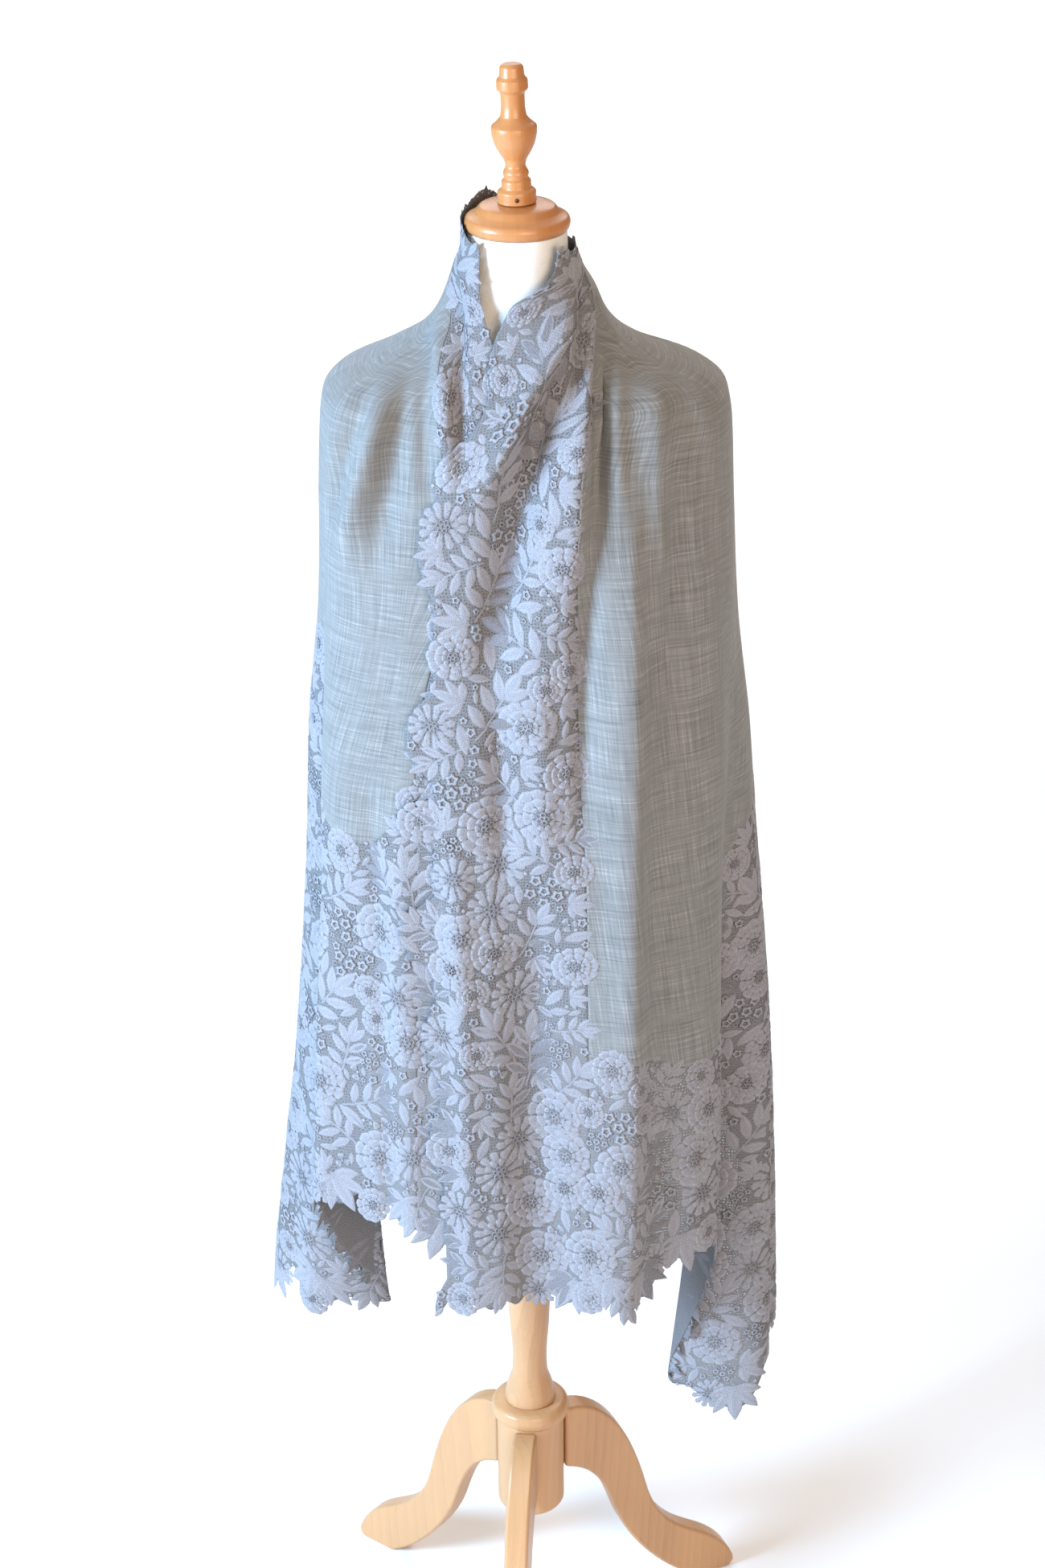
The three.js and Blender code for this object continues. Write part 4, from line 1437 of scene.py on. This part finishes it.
def leg_mesh(bearing):
    """Board cut to the leg's outline, half its thickness to each side of its upright plane."""
    outline = [np.array(LEG_TOP[:1], float)]
    outline += [bezier(controls, CURVE_STEPS) for controls in LEG_BACK]
    outline += [np.array(LEG_BACK[-1][-1:], float), np.array(LEG_SOLE[:1], float)]
    outline += [bezier(controls, CURVE_STEPS) for controls in LEG_FRONT]
    outline += [np.array(LEG_FRONT[-1][-1:], float)]
    reach, height = np.concatenate(outline).T
    turn = math.radians(bearing)
    out = np.array([math.sin(turn), -math.cos(turn), 0.0])
    aside = np.array([math.cos(turn), math.sin(turn), 0.0])
    middle = reach[:, None] * out + height[:, None] * np.array([0.0, 0.0, 1.0])
    half = LEG_THICKNESS / 2 * aside
    points = np.concatenate([middle - half, middle + half])
    index = np.arange(len(reach))
    after = np.roll(index, -1)
    count = len(reach)
    sides = np.stack([index, index + count, after + count, after], -1)
    return points, [index[None, :], index[None, ::-1] + count, sides]


# Sizes and colours that a user would change


class ShawlSizes(bpy.types.PropertyGroup):
    """Sizes of the cloth and lace."""

    woven_thickness: FloatProperty(
        name="Woven thickness",
        description="Thickness of the woven cloth",
        default=0.0009,
        unit="LENGTH",
    )
    net_thickness: FloatProperty(
        name="Net thickness",
        description="Thickness of the lace's net",
        default=0.0005,
        unit="LENGTH",
    )
    relief: FloatProperty(
        name="Relief",
        description="Height of the lace's cords over its net",
        default=0.00045,
        unit="LENGTH",
    )
    edge_pitch: FloatProperty(
        name="Edge pitch",
        description="Distance between the motifs along a free edge",
        default=0.034,
        unit="LENGTH",
    )
    seed: IntProperty(name="Seed", description="Seed of the lace's layout", default=7)


class ShawlColours(bpy.types.PropertyGroup):
    """Colours of the cloth, form and stage."""

    woven: FloatVectorProperty(
        name="Woven cloth",
        description="Colour of the woven cloth",
        subtype="COLOR",
        default=(0.215, 0.212, 0.2),
    )
    lace: FloatVectorProperty(
        name="Lace",
        description="Colour of the lace's flowers",
        subtype="COLOR",
        default=(0.315, 0.305, 0.322),
    )
    net: FloatVectorProperty(
        name="Net",
        description="Colour of the lace's net",
        subtype="COLOR",
        default=(0.19, 0.184, 0.184),
    )
    linen: FloatVectorProperty(
        name="Linen",
        description="Colour of the form's cover",
        subtype="COLOR",
        default=(0.84, 0.80, 0.73),
    )
    honey_wood: FloatVectorProperty(
        name="Honey wood",
        description="Colour of the cap and finial",
        subtype="COLOR",
        default=(0.53, 0.215, 0.068),
    )
    tan_wood: FloatVectorProperty(
        name="Tan wood",
        description="Colour of the stand",
        subtype="COLOR",
        default=(0.57, 0.31, 0.14),
    )
    floor: FloatVectorProperty(
        name="Floor",
        description="Colour of the floor",
        subtype="COLOR",
        default=(0.9, 0.9, 0.9),
    )


class StageSettings(bpy.types.PropertyGroup):
    """Light of the studio."""

    key_power: FloatProperty(
        name="Key light",
        description="Power of the cool light at the left",
        default=288.0,
        unit="POWER",
    )
    fill_power: FloatProperty(
        name="Fill light",
        description="Power of the warm light at the right",
        default=74.0,
        unit="POWER",
    )
    top_power: FloatProperty(
        name="Overhead light",
        description="Power of the large white light above",
        default=75.0,
        unit="POWER",
    )
    surround: FloatProperty(
        name="Surround",
        description="Strength of the even white surround",
        default=0.16,
    )


def in_millimetres(length):
    """A length property in millimetres."""
    return length / MILLIMETRE


def add_panel(name, node, slot, grid, thickness, material):
    """Thin shell of one panel, which takes the place of its node and hides it."""
    middle, normal = grid
    points, faces = shell(middle, normal, thickness)
    flat = np.tile(flat_lengths(middle), (2, 1))
    piece = add_piece(name, points, faces, material, slot, uv=flat)
    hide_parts(node)
    return piece


# Woven panels: node, left and right line, lower line, rows and columns of its grid, and whether it lies over.
WOVEN_PANELS = (
    ("woven_front_right", over_seam, fixed(BACK_START), over_hem_seam, 150, 110, True),
    ("woven_front_left", fixed(BACK_END - 360), under_seam, under_hem_seam, 140, 100, False),
    ("woven_back", fixed(BACK_START), fixed(BACK_END), over_hem_seam, 130, 120, False),
)
# Lace panels: node, upper and lower line, left and right line, and the same for the rest.
NET_PANELS = (
    ("lace_front_right", collar_edge, over_hem_edge, over_edge_bearing, over_seam, 220, 44, True),
    ("lace_front_left", collar_edge, under_hem_edge, under_seam, under_edge_bearing, 200, 36, False),
    ("lace_collar_back", collar_edge, collar_seam, fixed(NECK_SIDE), fixed(360 - NECK_SIDE), 20, 90, False),
    ("lace_hem_right", over_hem_seam, over_hem_edge, over_seam, fixed(BACK_START), 64, 130, True),
    ("lace_hem_left", under_hem_seam, under_hem_edge, fixed(BACK_END - 360), under_seam, 72, 120, False),
    ("lace_hem_back", over_hem_seam, over_hem_edge, fixed(BACK_START), fixed(BACK_END), 44, 120, False),
)


class SHAWL_OT_woven(bpy.types.Operator):
    """Makes the three panels of woven cloth"""

    bl_idname = "shawl.woven"
    bl_label = "Woven cloth"

    def execute(self, context):
        sizes = context.scene.shawl_sizes
        material = woven_material(context.scene.shawl_colours.woven)
        thickness = in_millimetres(sizes.woven_thickness)
        for name, left, right, bottom, rows, columns, is_over in WOVEN_PANELS:
            grid = cloth_grid(collar_seam, bottom, left, right, rows, columns, is_over)
            add_panel(f"{name}_cloth", name, "woven", grid, thickness, material)
        return {"FINISHED"}


# Pitch of the small motifs at the neck, as shares of the free edge's pitch, and how far motifs are set in
# from hems and seams, as shares of their size.
NECK_PITCH = 0.7
THROAT_PITCH = 0.8
HEM_INSET = 0.5
SEAM_INSET = 0.55

# Steps along the lines that motifs follow: of height, and of bearing at the hems and at the neck.
DOWN_STEP = 3.0
ROUND_STEP = 0.4
NECK_STEP = 0.5


def over_layout(rng, pitch):
    """Lace of the upper front: rows along its free edge, hem, collar and seams, then what fills it."""
    strip = Strip(low=300, high=1660, first=-52, last=116, start=over_mean_bearing, is_over=True)
    right = strip.lengths.max()
    layout = Layout(strip, over_depth, rng, low=310.0, high=1640.0, left=-80.0, right=right)
    layout.down(over_edge_bearing, np.arange(575.0, 1470.0, DOWN_STEP)[::-1], pitch, EDGE_MOTIFS)
    throat = np.arange(1475.0, 1612.0, DOWN_STEP)[::-1]
    layout.down(over_edge_bearing, throat, pitch * NECK_PITCH, COLLAR_MOTIFS, 0, 1.0)
    layout.round(over_hem_edge, np.arange(-27.0, BACK_START, ROUND_STEP), pitch, HEM_MOTIFS, 1, HEM_INSET)
    layout.round(collar_edge, np.arange(NECK_SIDE, 46.0, -NECK_STEP), pitch * NECK_PITCH, COLLAR_MOTIFS)
    layout.down(over_seam, np.arange(850.0, 1585.0, DOWN_STEP), pitch, SEAM_MOTIFS, 2, SEAM_INSET)
    seam = np.arange(BACK_START, 24.0, -ROUND_STEP)
    layout.round(over_hem_seam, seam, pitch, SEAM_MOTIFS, 1, SEAM_INSET)
    return strip, filled(layout)


def under_layout(rng, pitch):
    """Lace of the lower front where the upper one leaves it uncovered."""
    strip = Strip(low=430, high=1660, first=-116, last=32, start=under_seam, is_over=False)
    layout = Layout(strip, under_depth, rng, low=440.0, high=1650.0, left=strip.s_low, right=200.0)
    side = BACK_END - 360.0
    layout.round(under_hem_edge, np.arange(side, -20.0, ROUND_STEP), pitch, HEM_MOTIFS, 0, HEM_INSET)
    throat = np.arange(1440.0, 1610.0, DOWN_STEP)
    layout.down(under_edge_bearing, throat, pitch * THROAT_PITCH, COLLAR_MOTIFS)
    layout.round(collar_edge, np.arange(-42.0, -NECK_SIDE, -NECK_STEP), pitch * NECK_PITCH, COLLAR_MOTIFS)
    layout.down(under_seam, np.arange(1585.0, 1130.0, -DOWN_STEP), pitch, SEAM_MOTIFS, 2, SEAM_INSET)
    layout.round(under_hem_seam, np.arange(-38.0, side, -ROUND_STEP), pitch, SEAM_MOTIFS, 1, SEAM_INSET)
    return strip, filled(layout)


def back_layout(rng, pitch):
    """Lace behind: the hem and the collar."""
    strip = Strip(low=560, high=1670, first=88, last=272, start=fixed(180), is_over=False)
    right = strip.lengths.max()
    layout = Layout(strip, back_depth, rng, low=570.0, high=1660.0, left=strip.s_low, right=right)
    bearing = np.arange(float(BACK_START), BACK_END, ROUND_STEP)
    layout.round(over_hem_edge, bearing, pitch, HEM_MOTIFS, 0, HEM_INSET)
    layout.round(over_hem_seam, bearing[::-1], pitch, SEAM_MOTIFS, 1, SEAM_INSET)
    neck = np.arange(360.0 - NECK_SIDE, NECK_SIDE, -NECK_STEP)
    layout.round(collar_edge, neck, pitch * NECK_PITCH, COLLAR_MOTIFS)
    return strip, filled(layout)


# What fills the lace, in turn: motifs with their sizes, rounds, the shares of a motif that have to be clear
# and inside, and how far it may be turned.
FILLS = (
    (LARGE_MOTIFS, 3, 0.88, 0.9, 1.2),
    (MIDDLE_MOTIFS, 3, 0.88, 0.88, 3.1),
    (SMALL_MOTIFS, 2, 0.88, 0.85, 3.1),
    (((star, 6.4),), 3, 0.86, 0.85, 3.1),
    (((leaf, 7.5), (star, 5.0)), 3, 0.85, 0.85, 3.1),
    (((star, 3.8), (speck, 2.4)), 2, 0.85, 0.85, 3.1),
)


def filled(layout):
    """All elements of a layout after its free places have been filled."""
    for motifs, rounds, clear, inside, swing in FILLS:
        layout.fill(motifs, rounds, clear, inside, swing)
    return np.concatenate(layout.rows)


class SHAWL_OT_lace(bpy.types.Operator):
    """Makes the lace: its net and the flowers and leaves embroidered on it"""

    bl_idname = "shawl.lace"
    bl_label = "Lace"

    def execute(self, context):
        sizes = context.scene.shawl_sizes
        colours = context.scene.shawl_colours
        net = net_material(colours.net)
        flowers = flower_material(colours.lace)
        relief = in_millimetres(sizes.relief)
        pitch = in_millimetres(sizes.edge_pitch)
        thickness = in_millimetres(sizes.net_thickness)
        rng = np.random.default_rng(sizes.seed)
        for make, split in (
            (over_layout, ("lace_front_right", "lace_hem_right")),
            (under_layout, ("lace_front_left", "lace_hem_left")),
            (back_layout, ("lace_collar_back", "lace_hem_back")),
        ):
            strip, rows = make(rng, pitch)
            first = self.first_part(split[0], strip, rows)
            for node, chosen in zip(split, (rows[first], rows[~first])):
                # raised holds each point's relief, from which the flowers' material paints light on the cords
                # and shade between them.
                points, faces, flat, raised = flower_mesh(strip, chosen, relief, thickness)
                add_piece(
                    f"{node}_flowers", points, faces, flowers, "lace", uv=flat, values={"relief": raised}
                )
        for node, top, bottom, left, right, rows, columns, is_over in NET_PANELS:
            grid = cloth_grid(top, bottom, left, right, rows, columns, is_over)
            add_panel(f"{node}_net", node, "lace", grid, thickness, net)
        return {"FINISHED"}

    def first_part(self, node, strip, rows):
        """Which elements belong to the first of the two pieces on a strip."""
        bearing = strip.bearing(rows[:, 1], rows[:, 2])
        if node == "lace_front_right":
            return bearing < over_seam(rows[:, 2])
        if node == "lace_front_left":
            return bearing > under_seam(rows[:, 2])
        return rows[:, 2] > COLLAR_LINE


SOFT_EDGE = 0.0012
FINIAL_SOFT_EDGE = 0.0008
LEG_SOFT_EDGE = 0.004
SHARP_ANGLE = math.radians(40)


def add_solid(name, node, mesh, material, slot, width=SOFT_EDGE):
    """Solid piece that stands for a node, with a small bevel on its sharp edges."""
    piece = add_piece(name, *mesh, material, slot)
    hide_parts(node)
    modifier = piece.modifiers.new("soft_edges", "BEVEL")
    modifier.width = width
    modifier.segments = 2
    modifier.limit_method = "ANGLE"
    modifier.angle_limit = SHARP_ANGLE
    modifier.harden_normals = True


class SHAWL_OT_form(bpy.types.Operator):
    """Makes the padded linen form"""

    bl_idname = "shawl.form"
    bl_label = "Dress form"

    def execute(self, context):
        heights = np.linspace(TORSO[0][0], TORSO[-1][0], 150)[:, None]
        angle = np.radians(np.arange(0.0, 360.0, 3.0))[None, :]
        mesh = ring_stack(torso_radius(angle, heights), angle, heights)
        material = linen_material(context.scene.shawl_colours.linen)
        add_solid("torso_cover", "torso", mesh, material, "linen")
        return {"FINISHED"}


DOWEL_SIDES = 16
DOWEL_PROUD = 0.25
DOWEL_SUNK = 2.0


def dowel_mesh(height, reach, radius):
    """Round end of a peg across the finial's base: two rings of one radius, a little in and out of it."""
    angle = 2 * np.pi * np.arange(DOWEL_SIDES) / DOWEL_SIDES
    x = radius * np.cos(angle)
    z = height + radius * np.sin(angle)
    depth = -np.sqrt(reach**2 - x**2)
    outer = np.stack([x, depth - DOWEL_PROUD, z], -1)
    inner = np.stack([x, depth + DOWEL_SUNK, z], -1)
    index = np.arange(2 * DOWEL_SIDES).reshape(2, DOWEL_SIDES)
    around = np.roll(index, -1, axis=1)
    sides = np.stack([index[0], index[1], around[1], around[0]], -1)
    return np.concatenate([outer, inner]), [sides, index[0][None, :], index[1][None, ::-1]]


class SHAWL_OT_turnings(bpy.types.Operator):
    """Makes the turned neck cap and finial"""

    bl_idname = "shawl.turnings"
    bl_label = "Neck cap and finial"

    def execute(self, context):
        colour = context.scene.shawl_colours.honey_wood
        material = wood_material("honey_wood", colour, gloss=0.36, turn=(0.05, 0.04, 0.0))
        cap = revolve(CAP_PROFILE, rows=40, segments=96)
        add_solid("neck_cap_turned", "neck_cap", cap, material, "honey_wood")
        lean = np.array(Matrix.Rotation(FINIAL_LEAN, 3, "Y"))
        foot = np.array([0.0, 0.0, FINIAL_BASE])
        points, faces = revolve(FINIAL_PROFILE, rows=130, segments=64)
        finial = (points @ lean.T + foot, faces)
        add_solid("finial_turned", "finial", finial, material, "honey_wood", FINIAL_SOFT_EDGE)
        dark = wood_material("dowel_wood", shade(colour, 0.12), gloss=0.7, turn=(0.0, 0.0, 0.0))
        points, faces = dowel_mesh(DOWEL_HEIGHT, FINIAL_PROFILE[0][1], DOWEL_RADIUS)
        add_piece("finial_dowel", points @ lean.T + foot, faces, dark, "honey_wood")
        return {"FINISHED"}


class SHAWL_OT_stand(bpy.types.Operator):
    """Makes the pole, its collar ring, the hub and the three legs"""

    bl_idname = "shawl.stand"
    bl_label = "Stand"

    def execute(self, context):
        colour = context.scene.shawl_colours.tan_wood
        material = wood_material("tan_wood", colour, gloss=0.42, turn=(0.03, -0.05, 0.0))
        for node, profile in (("pole", POLE_PROFILE), ("collar_ring", RING_PROFILE), ("hub", HUB_PROFILE)):
            mesh = revolve(profile, rows=90, segments=72)
            add_solid(f"{node}_turned", node, mesh, material, "tan_wood")
        for node, bearing in LEG_BEARINGS.items():
            add_solid(f"{node}_board", node, leg_mesh(bearing), material, "tan_wood", LEG_SOFT_EDGE)
        return {"FINISHED"}


# Camera and lights, in millimetres about the axis. The focal length is a share of the picture's height.

CAMERA_PLACE = (-1.0, -2850.0, 2455.0)
CAMERA_PITCH = math.radians(26.1)
CAMERA_ROLL = math.radians(-0.64)
CAMERA_FOCUS = 3950.0 / 1950.0
SENSOR = 36.0
FLOOR_HALF = 20.0

# Lights: name, place, what it faces, size in metres, the setting that holds its power, its share of that
# power, and colour.
LIGHTS = (
    ("key_left", (-2700, -1500, 1900), (0, 0, 1050), 1.1, "key_power", 1.0, (0.465, 0.7, 1.0)),
    ("fill_right", (1000, -2900, 2200), (0, 0, 1050), 1.6, "fill_power", 1.0, (1.0, 0.82, 0.68)),
    ("far_floor", (0, 7000, 4200), (0, 7000, 0), 6.0, "top_power", 5.4, (1.0, 0.96, 0.93)),
    ("overhead", (0, 1400, 4200), (0, 1400, 0), 5.0, "top_power", 1.0, (1.0, 0.93, 0.87)),
)
WORLD_COLOUR = (1.0, 0.95, 0.91, 1.0)


def in_row_frame(place):
    """A place about the axis, in metres in the row's frame."""
    return Vector(np.array(place, float) * MILLIMETRE + AXIS)


def add_light(name, place, aim, size, power, colour):
    """Square soft light that faces a place."""
    light = bpy.data.lights.new(name, "AREA")
    light.size = size
    light.energy = power
    light.color = colour
    lamp = bpy.data.objects.new(name, light)
    lamp.location = in_row_frame(place)
    lamp.rotation_euler = (in_row_frame(aim) - lamp.location).to_track_quat("-Z", "Y").to_euler()
    bpy.context.scene.collection.objects.link(lamp)


class SHAWL_OT_stage(bpy.types.Operator):
    """Makes the pale floor, the lights and the camera"""

    bl_idname = "shawl.stage"
    bl_label = "Stage"

    def execute(self, context):
        scene = context.scene
        settings = scene.shawl_stage
        mesh = bpy.data.meshes.new("studio_floor")
        corners = [(x * FLOOR_HALF, y * FLOOR_HALF, 0.0) for x, y in ((-1, -1), (1, -1), (1, 1), (-1, 1))]
        mesh.from_pydata(corners, [], [(0, 1, 2, 3)])
        mesh.materials.append(floor_material(scene.shawl_colours.floor))
        floor = bpy.data.objects.new("studio_floor", mesh)
        scene.collection.objects.link(floor)
        for name, place, aim, size, power, share, colour in LIGHTS:
            add_light(name, place, aim, size, share * getattr(settings, power), colour)
        world = bpy.data.worlds.new("studio_surround")
        world.use_nodes = True
        background = world.node_tree.nodes["Background"]
        background.inputs["Color"].default_value = WORLD_COLOUR
        background.inputs["Strength"].default_value = settings.surround
        scene.world = world
        scene.view_settings.view_transform = "Standard"
        camera = bpy.data.cameras.new("photo_view")
        camera.sensor_fit = "AUTO"
        camera.sensor_width = SENSOR
        camera.lens = SENSOR * CAMERA_FOCUS
        view = bpy.data.objects.new("photo_view", camera)
        forward = Vector((0.0, math.cos(CAMERA_PITCH), -math.sin(CAMERA_PITCH)))
        level = Vector((1.0, 0.0, 0.0))
        upright = level.cross(forward)
        right = math.cos(CAMERA_ROLL) * level + math.sin(CAMERA_ROLL) * upright
        up = math.cos(CAMERA_ROLL) * upright - math.sin(CAMERA_ROLL) * level
        turn = Matrix((right, up, -forward)).transposed().to_4x4()
        view.matrix_world = Matrix.Translation(in_row_frame(CAMERA_PLACE)) @ turn
        scene.collection.objects.link(view)
        scene.camera = view
        return {"FINISHED"}


OPERATORS = (
    SHAWL_OT_woven,
    SHAWL_OT_lace,
    SHAWL_OT_form,
    SHAWL_OT_turnings,
    SHAWL_OT_stand,
    SHAWL_OT_stage,
)


class SHAWL_PT_pieces(bpy.types.Panel):
    """Lists the pieces and their sizes and colours"""

    bl_idname = "SHAWL_PT_pieces"
    bl_label = "Shawl"
    bl_space_type = "VIEW_3D"
    bl_region_type = "UI"
    bl_category = "Shawl"

    def draw(self, context):
        layout = self.layout
        for settings in (context.scene.shawl_sizes, context.scene.shawl_colours, context.scene.shawl_stage):
            box = layout.box()
            for name in settings.__annotations__:
                box.prop(settings, name)
        for operator in OPERATORS:
            layout.operator(operator.bl_idname)


CLASSES = (ShawlSizes, ShawlColours, StageSettings, *OPERATORS, SHAWL_PT_pieces)


def register():
    for made in CLASSES:
        bpy.utils.register_class(made)
    bpy.types.Scene.shawl_sizes = PointerProperty(type=ShawlSizes)
    bpy.types.Scene.shawl_colours = PointerProperty(type=ShawlColours)
    bpy.types.Scene.shawl_stage = PointerProperty(type=StageSettings)


def unregister():
    del bpy.types.Scene.shawl_stage
    del bpy.types.Scene.shawl_colours
    del bpy.types.Scene.shawl_sizes
    for made in reversed(CLASSES):
        bpy.utils.unregister_class(made)


def main():
    register()
    bpy.ops.shawl.stage()
    bpy.ops.shawl.woven()
    bpy.ops.shawl.lace()
    bpy.ops.shawl.form()
    bpy.ops.shawl.turnings()
    bpy.ops.shawl.stand()
    bpy.context.view_layer.update()


if __name__ == "__main__":
    main()
